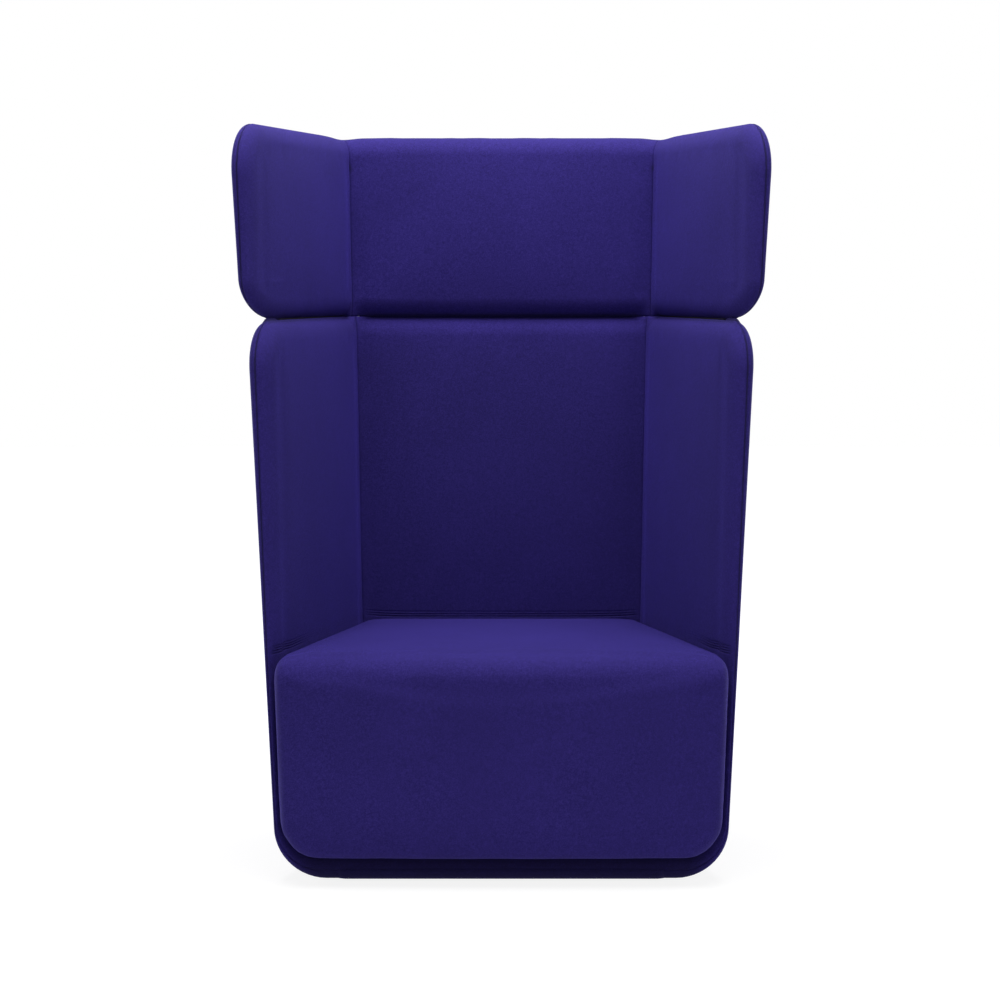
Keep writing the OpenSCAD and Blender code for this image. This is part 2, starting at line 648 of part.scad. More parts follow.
// The back's padding lies between the corner posts
function post_edge_share(head, z) =
    2 + (post_point(head, z, post, post_deep)[0] + 2 * soft_gap) / corner_half(head, z);
function back_pad_grid(head, inner) = both_halves([for (z = pad_rows(head))
    [for (i = [1:len(back_shares) - 1])
        let (share = i > 1 ? back_shares[i] : post_edge_share(head, z),
             p = skin(head, false, [0, share], z, pad_inset))
        inner ? p : [p[0], back_outer(z) - board_in - soft_gap, z]]]);
module back_padding(head) color(foam_colour) sheet(back_pad_grid(head, true), back_pad_grid(head, false));
module shell_padding_back() back_padding(false);
module head_padding_back() back_padding(true);

// Thin padding outside the boards, thinner still round the corners
function outer_pad_stations() = [for (i = [4:len(half_stations()) - 1]) half_stations()[i]];
function outer_pad_inset(place, far) = !far ? pad_inset
    : place[1] < straight_share || place[1] > 2 - straight_share ? board_out - 2 * soft_gap
    : pad_inset + outer_pad / 8;
function outer_pad_grid(head, far) = both_halves(concat(
    head ? [] : [for (i = [len(bend_angles) - 1:-1:0])
        [for (s = outer_pad_stations()) bend_skin(s, bend_angles[i], outer_pad_inset(s, far))]],
    head ? [] : [[for (s = outer_pad_stations()) bend_skin(s, 0, outer_pad_inset(s, far))]],
    [for (z = pad_rows(head))
        [for (s = outer_pad_stations()) skin(head, true, s, z, outer_pad_inset(s, far))]]));
module outer_padding(head) color(foam_colour) sheet(outer_pad_grid(head, false), outer_pad_grid(head, true));
module shell_outer_padding() outer_padding(false);
module head_outer_padding() outer_padding(true);

// Fabric covers
// Half opening of the seam in the back's corner, as a share of the path
corner_seam_share = 0.001;
function wall_cover_grid(head, inset) = [for (z = inner_rows(head))
    [for (s = wall_stations()) skin(head, false, s - [0, s[1] == 1 ? corner_seam_share : 0], z, inset)]];
function back_cover_grid(head, inset) = both_halves([for (z = inner_rows(head))
    [for (t = back_shares) skin(head, false, [0, t + (t == 1 ? corner_seam_share : 0)], z, inset)]]);
module wall_cover(head) color(fabric_colour) sheet(wall_cover_grid(head, 0), wall_cover_grid(head, cover));
module back_cover(head) color(fabric_colour) difference() {
    sheet(back_cover_grid(head, 0), back_cover_grid(head, cover));
    spigot_hole();
}
module shell_cover_left() wall_cover(false);
module shell_cover_right() mirror([1, 0, 0]) wall_cover(false);
module shell_cover_back() back_cover(false);
module head_cover_left() wall_cover(true);
module head_cover_right() mirror([1, 0, 0]) wall_cover(true);
module head_cover_back() back_cover(true);

function outer_cover_grid(head, inset) = both_halves(concat(
    head ? [] : [[for (s = half_stations()) flange_skin(s, inset)]],
    head ? [] : [for (i = [len(bend_angles) - 1:-1:0])
        [for (s = half_stations()) bend_skin(s, bend_angles[i], inset)]],
    head ? [] : [[for (s = half_stations()) bend_skin(s, 0, inset)]],
    [for (z = inner_rows(head)) [for (s = half_stations()) skin(head, true, s, z, inset)]]));
module outer_cover(head) color(fabric_colour) sheet(outer_cover_grid(head, 0), outer_cover_grid(head, cover));
module shell_outer_cover() outer_cover(false);
module head_outer_cover() outer_cover(true);

// Felt strip in the open line, under the ridges of the head section's covers and over the shell's
felt_end_share = 0.12;
felt_bend_share = 0.5;
felt_shares = concat([felt_end_share],
    [for (t = wall_shares) if (t > felt_bend_share) t],
    [for (t = back_shares) if (t > 1) t]);
felt_in_share = 0.58;
felt_out_share = 0.8;
function felt_line(across_share) =
    let (half = [for (t = felt_shares)
             mix(inner_path(false, shell_top, [0, t]), outer_path(false, shell_top, [0, t]), across_share)],
         last = len(half) - 1)
    concat(half, [for (i = [last - 1:-1:0]) [-half[i][0], half[i][1]]]);
module head_felt() {
    inner = felt_line(felt_in_share);
    color(felt_colour) translate([0, 0, shell_top]) linear_extrude(head_gap)
        polygon(concat(felt_line(felt_out_share), [for (i = [len(inner) - 1:-1:0]) inner[i]]));
}

// Front band of the base: a strip round the basket's front edge, from wall to wall
band_places = concat(rim_places, [rim_inner * 1.6]);
function band_point(e, z, angle, inset) =
    let (y = wall_front + inset + e)
    is_undef(angle)
    ? let (far = outer_half(false, y, z), near = inner_half(false, y, z))
      [-mix(near, far, across(false, far - near, e, inset)), y, z]
    : let (r = side_bend - bend_in(false, e, angle, inset))
      [side_bend - r * cos(angle) - outer_half(false, y, bend_top), y, bend_top - r * sin(angle)];
function band_grid(inset) =
    let (half = concat(
             [for (z = [tuck_height, mix(tuck_height, bend_top, 1 / 2), bend_top])
                 [for (e = band_places) band_point(e, z, undef, inset)]],
             [for (a = bend_angles) [for (e = band_places) band_point(e, 0, a, inset)]],
             [[for (e = band_places) let (p = band_point(e, 0, 90, inset)) [0, p[1], p[2]]]]),
         last = len(half) - 1)
    concat(half, [for (i = [last - 1:-1:0]) [for (p = half[i]) mirrored(p)]]);
module base_front_cover() color(fabric_colour) sheet(band_grid(0), band_grid(cover));
// Strip from that band's seam to the underside, between the outer cover's flanges
lower_places = [for (i = [0:3]) rim_places[i]];
function lower_strip(inset) =
    [for (x = [-1, 0, 1]) [for (e = concat(lower_places, [bend_flat]))
        [x * (flange_half(wall_front + bend_flat) - cover), wall_front + inset + e,
         ground_gap + bend_in(true, e, 90, inset)]]];
module base_lower_cover() color(fabric_colour) sheet(lower_strip(0), lower_strip(cover));

// Timber rail and its padding behind that band
front_rail_deep = 30;
module base_front_rail() {
    y = wall_front + board_setback;
    half = flange_half(y) - strip_width / 2 - soft_gap;
    color(wood_colour) translate([-half, y, base_over])
        cube([2 * half, front_rail_deep, seat_bottom - 2 * board_out - base_over]);
}
module base_front_padding() {
    half = flange_half(wall_front);
    inset = cover + 2 * soft_gap;
    places = [for (i = [1:3]) rim_places[i]];
    function point(outer, e) = [wall_front + e,
        ground_gap + (outer ? bend_in(true, e - inset, 90, inset) : bend_in(false, e - inset, 90, inset))];
    color(foam_colour) translate([-half, 0, 0]) rotate([90, 0, 90]) linear_extrude(2 * half)
        polygon(concat([for (e = places) point(true, max(e, inset))],
                       [for (i = [2:-1:0]) point(false, max(places[i], inset))]));
}

// Base's hidden parts
strip_width = 40;
strip_thick = 6;
nut_radius = 5.5;
nut_flange = 11;
nut_flange_thick = 1.5;
block_size = 48;
block_thick = 20;
dust_thick = 1;
bolt_radius = 4;
bolt_hole = 4.5;
bolt_head = 8;
foot_thick = 3;
foot_edge = 1;

function glide_place(name) =
    let (right = name == "front_right" || name == "rear_right",
         front = name == "front_left" || name == "front_right",
         half = front ? glide_front_half : glide_rear_half)
    [right ? half : -half,
     front ? wall_front + board_setback + front_rail_deep + glide_front_in
           : back_outer(ground_gap) - rear_bend - glide_rear_in];
module at_glide(name) translate(glide_place(name)) children();
module at_glides() for (name = glide_names) at_glide(name) children();

module tee_nuts() color(steel_colour) at_glides() difference() {
    union() {
        translate([0, 0, base_under]) cylinder(h = board + nut_flange_thick, r = nut_radius);
        translate([0, 0, base_over]) cylinder(h = nut_flange_thick, r = nut_flange);
    }
    translate([0, 0, base_under - overrun]) cylinder(h = board + block_thick, r = stem_radius + stem_clear);
}
module glide_blocks() color(wood_colour) at_glides() difference() {
    translate([-block_size / 2, -block_size / 2, base_over]) cube([block_size, block_size, block_thick]);
    translate([0, 0, base_over - overrun]) cylinder(h = nut_flange_thick + overrun, r = nut_flange);
    translate([0, 0, base_over]) cylinder(h = block_thick + overrun, r = stem_radius + overrun);
}
module dust_cover() {
    front = wall_front + board_setback + overrun;
    rear = flange_end() - overrun;
    color(felt_colour) difference() {
        translate([0, 0, base_under - dust_thick]) linear_extrude(dust_thick)
            polygon([[-flange_half(front), front], [flange_half(front), front],
                     [flange_half(rear), rear], [-flange_half(rear), rear]]);
        at_glides() translate([0, 0, base_under - dust_thick - overrun])
            cylinder(h = dust_thick + 2 * overrun, r = nut_radius);
        at_seat_bolts() translate([0, 0, base_under - dust_thick - overrun])
            cylinder(h = dust_thick + 2 * overrun, r = bolt_head + overrun);
    }
}

// Levelling glides: a foot with a socket, and a threaded stem that turns in it
module glide_stem(name) color(steel_colour) at_glide(name) translate([0, 0, foot_thick / 2])
    cylinder(h = glide_travel + stem_hold, r = stem_radius);
module glide_foot(name) color(plastic_colour) at_glide(name) difference() {
    rotate_extrude() polygon([[0, 0], [foot_radius - foot_edge, 0], [foot_radius, foot_edge],
                              [foot_radius - foot_edge, foot_thick], [0, foot_thick]]);
    translate([0, 0, foot_thick / 2]) cylinder(h = foot_thick, r = stem_radius + stem_clear);
}

// Seat block
// Outline of the seat block at a height, drawn in at its sides, front and back
function seat_half(y, z, side) =
    inner_half(false, max(y, wall_front), min(z, seat_top)) - seat_gap - side;
function corner_curve(a, b, c, r, steps) =
    let (p = b + unit(a - b) * r, q = b + unit(c - b) * r)
    [for (i = [0:steps]) let (t = i / steps) (1 - t) * (1 - t) * p + 2 * t * (1 - t) * b + t * t * q];
function seat_ring(z, side, front, back) =
    let (yf = seat_front + front, yb = back_face(min(z, seat_top)) - seat_gap - back,
         fl = [-seat_half(yf, z, side), yf], fr = [seat_half(yf, z, side), yf],
         kl = [-seat_half(wall_front, z, side), wall_front],
         kr = [seat_half(wall_front, z, side), wall_front],
         br = [seat_half(yb, z, side), yb], bl = [-seat_half(yb, z, side), yb],
         rf = max(seat_edge - side / 2, seat_edge / 4), rb = rf / 2,
         bulge = front_crown * max(0, 1 - front / seat_edge / 2))
    [for (p = concat(
        corner_curve(kl, fl, fr, rf, 4),
        [for (t = [0.2, 0.5, 0.8]) mix(fl, fr, t) - [0, bulge * sin(180 * t)]],
        corner_curve(fl, fr, kr, rf, 4),
        yf < wall_front - rf ? [kr] : [mix(fr, br, 0.2)],
        [mix(fr, br, 0.4), mix(fr, br, 0.7)],
        corner_curve(fr, br, bl, rb, 3),
        [mix(br, bl, 0.5)],
        corner_curve(br, bl, fl, rb, 3),
        [mix(bl, fl, 0.3), mix(bl, fl, 0.6)],
        yf < wall_front - rf ? [kl] : [mix(bl, fl, 0.8)])) [p[0], p[1], z]];
// Levels of the block from its lower edge to its crown: height and the draw of side, front and back
function seat_levels(inset) =
    let (r = seat_low_corner, q = seat_edge, top = seat_top - inset)
    concat([for (a = [0, 22, 45, 68]) let (z = seat_bottom + r * (1 - cos(a)))
                [z, r * (1 - sin(a)) + inset, fillet_drop(q, seat_bottom + q - z) / 2 + inset, inset]],
           [[seat_bottom + r, inset, inset, inset]],
           [for (a = [0, 22, 45, 68, 90]) let (e = q * (1 - cos(a)))
                [top - q * (1 - sin(a)), e * side_edge_share + inset, e + inset, e / 2 + inset]],
           [for (t = [0.15, 0.4, 0.75]) let (e = q + t * crown_run)
                [top + seat_crown * sin(90 * min(1, t / 0.75)), e + inset, e + inset, e + inset]]);
side_edge_share = seat_side_edge / seat_edge;
// Distance over which the crown rises from the seat's edges
crown_run = 210;
function seat_rings(inset) = [for (l = seat_levels(inset)) seat_ring(l[0], l[1], l[2], l[3])];
module seat_cover() color(fabric_colour) cup(seat_rings(0), seat_rings(cover));

// Foam over the webbing, with the block's crown
strap_thick = 1.2;
foam_low = frame_top + 2 * strap_thick + soft_gap;
module seat_foam() {
    inset = cover + 2 * soft_gap;
    levels = [for (l = seat_levels(inset)) if (l[0] > seat_top - seat_edge - inset - overrun) l];
    low = [foam_low, inset, inset, inset];
    color(foam_colour) stack([for (l = concat([low], levels)) seat_ring(l[0], l[1], l[2], l[3])]);
}

// Frame of the seat block
former_in = 26;
former_front = seat_front + former_in + 4 * cover;
former_rear_in = 12;
// Air holes through the rear former
air_hole = 23;
air_hole_half = 105;
plinth_top = seat_bottom + cover;
// Outline of a former in the front view, with the block's rounded lower corners
function former_outline(y) =
    let (r = seat_low_corner - former_in / 2,
         low = seat_half(y, seat_bottom + r, former_in), high = seat_half(y, frame_top, former_in))
    [for (side = [1, -1]) each let (points = concat(
        [for (a = [0, 30, 60, 90]) [low - r * (1 - sin(a)), plinth_top + r * (1 - cos(a))]],
        [[high, frame_top]])) side > 0 ? points
        : [for (i = [len(points) - 1:-1:0]) [-points[i][0], points[i][1]]]];
module former(y, holes) color(wood_colour) difference() {
    translate([0, y + rail, 0]) rotate([90, 0, 0]) linear_extrude(rail) polygon(former_outline(y + rail));
    if (holes) translate([0, y - overrun, (plinth_top + frame_top) / 2]) rotate([-90, 0, 0])
        for (side = [-1, 1]) translate([side * air_hole_half, 0, 0])
            cylinder(h = rail + 2 * overrun, r = air_hole);
}
function rear_former_y() = back_face(seat_bottom) - seat_gap - former_rear_in - rail;
module seat_front_former() former(former_front, false);
module seat_rear_former() former(rear_former_y(), true);

rail_low = seat_bottom + seat_low_corner;
function rail_point(y, in) = [in + former_in - seat_half(y, rail_low, 0), y];
module seat_rail() {
    y0 = former_front + rail;
    y1 = rear_former_y();
    color(wood_colour) translate([0, 0, rail_low]) linear_extrude(frame_top - rail_low)
        polygon([rail_point(y0, rail_in), rail_point(wall_front, rail_in), rail_point(y1, rail_in),
                 rail_point(y1, rail_in + rail), rail_point(wall_front, rail_in + rail),
                 rail_point(y0, rail_in + rail)]);
}
rail_in = 4;
centre_rail_drop = 18;
centre_rail_high = 68;
corner_block = 50;
module seat_rail_left() seat_rail();
module seat_rail_right() mirror([1, 0, 0]) seat_rail();
module seat_centre_rail() {
    y0 = former_front + rail;
    color(wood_colour) translate([-rail / 2, y0, frame_top - centre_rail_drop - centre_rail_high])
        cube([rail, rear_former_y() - y0, centre_rail_high]);
}
// Square blocks glued into the frame's four corners
module seat_corner_blocks() color(wood_colour) on_both_sides() {
    y0 = former_front + rail;
    y1 = rear_former_y();
    x0 = rail_point(wall_front, rail_in + rail)[0];
    x3 = rail_point(y0 + corner_block, rail_in + rail)[0];
    x1 = rail_point(y1 - corner_block, rail_in + rail)[0];
    x2 = rail_point(y1, rail_in + rail)[0];
    translate([0, 0, rail_low + corner_block]) linear_extrude(frame_top - rail_low - 2 * corner_block) {
        polygon([[x0, y0], [x0 + corner_block, y0], [x3, y0 + corner_block], [x0, max(y0, wall_front)]]);
        polygon([[x2, y1], [x2 + corner_block, y1], [x1, y1 - corner_block]]);
    }
}
// Bearers between the formers' feet, on packing that stands on the base board
plinth_width = 50;
plinth_side_gap = 16;
plinth_in = glide_rear_half - block_size / 2 - plinth_side_gap - plinth_width;
plinth_high = 30;
module seat_plinths() color(wood_colour) on_both_sides() difference() {
    y0 = wall_front + band_places[len(band_places) - 1] + board_out;
    y1 = former_front + rail;
    union() {
        translate([-plinth_in - plinth_width, y0, base_over])
            cube([plinth_width, flange_end() - strip_width / 2 - soft_gap - y0, plinth_top - base_over]);
        translate([-plinth_in - plinth_width, y1, plinth_top])
            cube([plinth_width, rear_former_y() - y1, plinth_high]);
    }
    at_seat_bolts() translate([0, 0, base_over - overrun])
        cylinder(h = plinth_top + plinth_high - base_over + 2 * overrun, r = bolt_hole);
}
// Straps of webbing over the frame, one layer each way
lengthwise_count = 6;
crosswise_count = 6;
module webbing_lengthwise() color(felt_colour) {
    y0 = former_front;
    y1 = rear_former_y() + rail;
    half = -rail_point(y1, rail_in + rail)[0];
    step = (2 * half - strap) / (lengthwise_count - 1);
    for (i = [0:lengthwise_count - 1]) translate([i * step - half, y0, frame_top])
        cube([strap, y1 - y0, strap_thick]);
}
module webbing_crosswise() color(felt_colour) {
    y0 = former_front + rail;
    y1 = rear_former_y() - strap;
    step = (y1 - y0) / (crosswise_count - 1);
    for (i = [0:crosswise_count - 1]) {
        y = y0 + i * step;
        half = -rail_point(max(y + strap, wall_front), rail_in)[0];
        translate([-half, y, frame_top + strap_thick]) cube([2 * half, strap, strap_thick]);
    }
}
// Foam on the front of the frame, with a share of the cover's bulge
foam_crown_share = 0.8;
module seat_front_foam() {
    inset = cover + 2 * soft_gap;
    low = seat_bottom + seat_low_corner;
    high = frame_top;
    function ring(z) =
        let (half = seat_half(wall_front, z, seat_edge), face = seat_front + inset)
        [for (t = [-1, -0.5, 0, 0.5, 1]) [t * half, face - front_crown * foam_crown_share * cos(90 * t), z]];
    function wall(z) = [for (p = ring(z)) [p[0], former_front - soft_gap, z]];
    color(foam_colour) sheet([ring(low), ring((low + high) / 2), ring(high)],
                             [wall(low), wall((low + high) / 2), wall(high)]);
}

// Bolts that hold the seat block to the base
bolt_head_thick = 3;
bolt_front_in = 100;
bolt_rear_in = 50;
module at_seat_bolts()
    for (side = [-1, 1], y = [former_front + bolt_front_in, rear_former_y() - bolt_rear_in])
        translate([side * (plinth_in + plinth_width / 2), y]) children();
module seat_bolts() color(steel_colour) at_seat_bolts() {
    translate([0, 0, base_under - bolt_head_thick]) cylinder(h = bolt_head_thick, r = bolt_head);
    translate([0, 0, base_under]) cylinder(h = plinth_top + bolt_head - base_under, r = bolt_radius);
}

// Drawing
for (name = glide_names) {
    glide_stem(name);
    glide_foot(name);
}
base_board();
joint_strips();
glide_blocks();
dust_cover();
tee_nuts();
base_front_rail();
base_front_padding();
base_front_cover();
base_lower_cover();
side_shell_left();
side_shell_right();
back_shell();
corner_post_left();
corner_post_right();
frame_screws();
shell_padding_left();
shell_padding_back();
shell_padding_right();
shell_outer_padding();
shell_cover_left();
shell_cover_back();
shell_cover_right();
shell_outer_cover();
head_side_board_left();
head_side_board_right();
head_back_board();
head_post_left();
head_post_right();
head_padding_left();
head_padding_back();
head_padding_right();
head_outer_padding();
head_cover_left();
head_cover_back();
head_cover_right();
head_outer_cover();
head_felt();
head_screws();
head_spigots();
seat_plinths();
seat_front_former();
seat_rear_former();
seat_rail_left();
seat_rail_right();
seat_centre_rail();
seat_corner_blocks();
webbing_lengthwise();
webbing_crosswise();
seat_foam();
seat_front_foam();
seat_cover();
seat_bolts();
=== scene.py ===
import json
import math

import bpy
import numpy as np
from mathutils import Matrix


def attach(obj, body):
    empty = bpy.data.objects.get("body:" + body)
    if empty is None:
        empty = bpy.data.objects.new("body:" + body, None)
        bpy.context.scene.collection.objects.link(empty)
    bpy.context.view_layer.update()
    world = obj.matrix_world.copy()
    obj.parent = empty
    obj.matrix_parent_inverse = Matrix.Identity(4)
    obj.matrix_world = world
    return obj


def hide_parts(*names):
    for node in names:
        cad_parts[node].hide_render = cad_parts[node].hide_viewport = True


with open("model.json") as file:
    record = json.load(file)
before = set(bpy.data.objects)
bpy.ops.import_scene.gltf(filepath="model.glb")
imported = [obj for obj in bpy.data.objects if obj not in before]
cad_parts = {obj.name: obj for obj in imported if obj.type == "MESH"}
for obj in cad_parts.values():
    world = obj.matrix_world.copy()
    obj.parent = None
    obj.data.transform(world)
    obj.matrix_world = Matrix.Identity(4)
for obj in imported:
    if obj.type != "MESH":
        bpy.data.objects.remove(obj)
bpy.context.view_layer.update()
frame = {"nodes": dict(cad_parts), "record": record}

scene = bpy.context.scene
nodes = frame["nodes"]

# Sizes of the upholstered surfaces, in millimetres and degrees, as the part has them
chair = {
    "shellTop": 1036, "headHeight": 360, "seatTop": 430, "groundGap": 4, "headGap": 4,
    "frontHalf": 420.5, "lean": 2.7, "splay": 12.7, "frontWall": 24, "frontWallTop": 45,
    "rearWall": 45, "rearWallTop": 50, "setback": 58, "seatDepth": 565, "recline": 4.8,
    "backThick": 60, "rearRadius": 70, "sideBend": 98, "rearBend": 50, "shellCorner": 88,
    "innerDraw": 0.035, "bendFlat": 34,
    "headOverhang": 10, "headLean": 3.35, "headSplay": 13.5, "headFrontWall": 24,
    "headRearWall": 43, "headRearWallTop": 50, "headCorner": 97, "headLowRun": 160, "headLowRise": 75,
    "cover": 1.5, "rimInner": 38, "rimOuter": 24, "crown": 5, "tuckDepth": 50,
    "seatBottom": 57, "seatCrown": 9, "frontCrown": 7, "seatEdge": 46, "seatSideEdge": 24,
    "seatLowCorner": 68, "seatGap": 1.5,
}
seamShare = 0.62
straightShare = 0.86


def slope(degrees):
    return math.tan(math.radians(degrees))


headBottom = chair["shellTop"] + chair["headGap"]
headTop = headBottom + chair["headHeight"]
chairDepth = (chair["frontCrown"] + chair["seatDepth"] + chair["backThick"]
              + slope(chair["recline"]) * (headTop - chair["rimOuter"] - chair["seatTop"]))
seatFront = chair["frontCrown"] - chairDepth / 2
wallFront = seatFront + chair["setback"]
seatBack = seatFront + chair["seatDepth"]
headLowHalf = chair["frontHalf"] + slope(chair["lean"]) * chair["shellTop"] + chair["headOverhang"]
bendTop = chair["groundGap"] + chair["sideBend"]
tuckHeight = chair["seatTop"] - chair["tuckDepth"]


# straight blend from a to b
def mix(a, b, t):
    return a + (b - a) * t


# quarter round: 0 at the edge, 1 from one radius on
def rounding(t):
    return np.sqrt(np.clip(1 - (1 - np.clip(t, 0, 1)) ** 2, 0, 1))


# soft step from 0 at a to 1 at b
def softStep(a, b, x):
    t = np.clip((x - a) / (b - a), 0, 1)
    return t * t * (3 - 2 * t)


# bell of a width round a middle
def bell(x, middle, width):
    return np.exp(-((x - middle) / width) ** 2)


# drop of a rounded edge of radius r at a distance d past where the rounding starts
def filletDrop(r, d):
    d = np.clip(d, 0, r)
    return r - np.sqrt(r * r - d * d)


# smooth noise from -1 to 1: seeded lattice values, blended with soft steps between the lattice lines
def noise(x, y, seed):
    table = np.random.default_rng(seed).uniform(-1, 1, (97, 97))
    x, y = np.broadcast_arrays(np.asarray(x, float), np.asarray(y, float))
    i, j = np.floor(x).astype(int), np.floor(y).astype(int)
    u, v = x - i, y - j
    u, v = u * u * (3 - 2 * u), v * v * (3 - 2 * v)
    a, b = table[i % 97, j % 97], table[(i + 1) % 97, j % 97]
    c, d = table[i % 97, (j + 1) % 97], table[(i + 1) % 97, (j + 1) % 97]
    return mix(mix(a, b, u), mix(c, d, u), v)


# The surfaces are arrays over places (distance e from the front line, share s of the wall) and heights z

# depth of the back's inner and outer face
def backFace(z):
    return seatBack + slope(chair["recline"]) * (z - chair["seatTop"])


def backOuter(z):
    return backFace(z) + chair["backThick"]


# outer half width falls with depth and grows with height
def outerHalf(head, y, z):
    if head:
        lean = slope(chair["headLean"]) * (z - headBottom)
        return headLowHalf + lean - slope(chair["headSplay"]) * (y - wallFront)
    return chair["frontHalf"] + slope(chair["lean"]) * z - slope(chair["splay"]) * (y - wallFront)


innerSeat = outerHalf(False, wallFront, chair["seatTop"]) - chair["frontWall"]
innerTop = outerHalf(False, wallFront, chair["shellTop"]) - chair["frontWallTop"]


# inner half width at the front edge: straight from the seat's height to the top, drawn in below the seat
def innerFront(head, z):
    if head:
        return headLowHalf - chair["headFrontWall"] + 0 * z
    t = (z - chair["seatTop"]) / (chair["shellTop"] - chair["seatTop"])
    below = innerSeat + chair["innerDraw"] * (z - chair["seatTop"])
    return np.where(t < 0, below, mix(innerSeat, innerTop, t))


# outer half width at the back's face, less the wall
def cornerAt(head, z, wall):
    return outerHalf(head, backFace(z), z) - wall


# inner half width at the back's corners: straight from the lowest to the highest value
def cornerHalf(head, z):
    if head:
        return mix(cornerAt(True, headBottom, chair["headRearWall"]),
                   cornerAt(True, headTop, chair["headRearWallTop"]), (z - headBottom) / chair["headHeight"])
    return mix(cornerAt(False, chair["seatTop"], chair["rearWall"]),
               cornerAt(False, chair["shellTop"], chair["rearWallTop"]),
               (z - chair["seatTop"]) / (chair["shellTop"] - chair["seatTop"]))


# inner half width runs straight from the front edge to the back's corner
def innerHalf(head, y, z):
    return mix(innerFront(head, z), cornerHalf(head, z), (y - wallFront) / (backFace(z) - wallFront))


def highEdge(head):
    return headTop if head else chair["shellTop"]


def cornerRadius(head):
    return chair["headCorner"] if head else chair["shellCorner"]


# front line of a wall seen from the side: round at its upper corner, an ellipse at the head's lower one
def frontLine(head, z):
    r = cornerRadius(head)
    line = wallFront + filletDrop(r, z - (highEdge(head) - r))
    if head:
        run, rise = chair["headLowRun"], chair["headLowRise"]
        line = line + run * filletDrop(1, (headBottom + rise - z) / rise)
    return line


# distance of a point of a wall from that outline: the nearest of the front, the top and the bottom edge, and
# in a rounded corner the distance to its curve
def edgeDistance(head, y, z):
    r = cornerRadius(head)
    d = np.minimum(y - wallFront, highEdge(head) - z)
    high = (y < wallFront + r) & (z > highEdge(head) - r)
    d = np.where(high, r - np.hypot(y - wallFront - r, z - highEdge(head) + r), d)
    if head:
        run, rise = chair["headLowRun"], chair["headLowRise"]
        d = np.minimum(d, z - headBottom)
        low = (y < wallFront + run) & (z < headBottom + rise)
        u, v = (y - wallFront - run) / run, (z - headBottom - rise) / rise
        out = np.hypot(u, v)
        d = np.where(low, (1 - out) * out / np.maximum(np.hypot(u / run, v / rise), 1e-9), d)
    return np.maximum(d, 0)


# place across the wall: the seam's share at the edge, running round to the inner or the outer face
def across(outer, d):
    return mix(seamShare, 1, rounding(d / chair["rimOuter"])) if outer \
        else mix(seamShare, 0, rounding(d / chair["rimInner"]))


# outer path in plan: straight along the wall, an arc round the corner, straight across the back
def outerPath(head, z, e, s, draw=0, backDraw=0):
    yb = backOuter(z) - backDraw
    xb = draw - outerHalf(head, yb, z)
    rc = np.maximum(chair["rearRadius"] - draw, chair["cover"])
    run = slope(chair["headSplay"] if head else chair["splay"])
    cx, cy = xb + rc * (math.sqrt(1 + run * run) - run), yb - rc
    start = math.pi - math.atan(run)
    middle = (start + math.pi / 2) / 2
    turn = 1 - straightShare
    straight = np.minimum(s, straightShare) / straightShare
    yWall = e + mix(frontLine(head, z), cy + rc * math.sin(start), straight)
    angle = np.where(s < 1, mix(start, middle, np.clip((s - straightShare) / turn, 0, 1)),
                     mix(middle, math.pi / 2, np.clip((s - 1) / turn, 0, 1)))
    t = np.clip((s - 2 + straightShare) / straightShare, 0, 1)
    x = np.where(s < straightShare, draw - outerHalf(head, yWall, z),
                 np.where(s < 2 - straightShare, cx + rc * np.cos(angle), cx * (1 - t)))
    y = np.where(s < straightShare, yWall,
                 np.where(s < 2 - straightShare, cy + rc * np.sin(angle), yb + 0 * s))
    return x, y


# inner path in plan: straight along the wall and across the back, with the faces' crown
def innerPath(head, z, e, s):
    yf, yc = frontLine(head, z), backFace(z)
    s = s + e / (yc - yf)
    low = headBottom if head else tuckHeight
    rise = np.sin(np.pi * np.clip((z - low) / (highEdge(head) - low), 0, 1))
    y = mix(yf, yc, np.minimum(s, 1))
    x = np.where(s <= 1, chair["crown"] * rise * np.sin(np.pi * np.clip(s, 0, 1)) - innerHalf(head, y, z),
                 -cornerHalf(head, z) * (2 - s))
    y = np.where(s <= 1, y, yc - 2 * chair["crown"] * rise * np.sin(np.pi / 2 * np.clip(s - 1, 0, 1)))
    return x, y


# Rims beside the open line between shell and head: places across the wall are shares, the rest millimetres
lips = {
    "place": 0.52, "cornerPlace": 0.2, "cornerWide": 24, "reach": 0.045, "cornerReach": 0.12, "peak": 1.15,
    "ends": (0.565, 0.585), "near": 40, "shellStart": (42, 82), "headStart": (96, 140),
    "beadPlace": 0.74, "beadReach": 0.05, "beadStart": (72, 92), "beadEnd": (140, 190), "beadOver": 1,
    "dip": 4, "dipWide": (75, 30), "dipDeep": 70,
}
openMiddle = chair["shellTop"] + chair["headGap"] / 2


# soft bead that fills the open line's end beside the front corner: a bell across the wall, faded in and out
def lineBead(n, s, run, z):
    along = softStep(*lips["beadStart"], run) * (1 - softStep(*lips["beadEnd"], run)) * (s < 1)
    bead = np.minimum(lips["peak"] * bell(n, lips["beadPlace"], lips["beadReach"]), 1)
    return bead * along * (abs(z - openMiddle) < lips["near"])


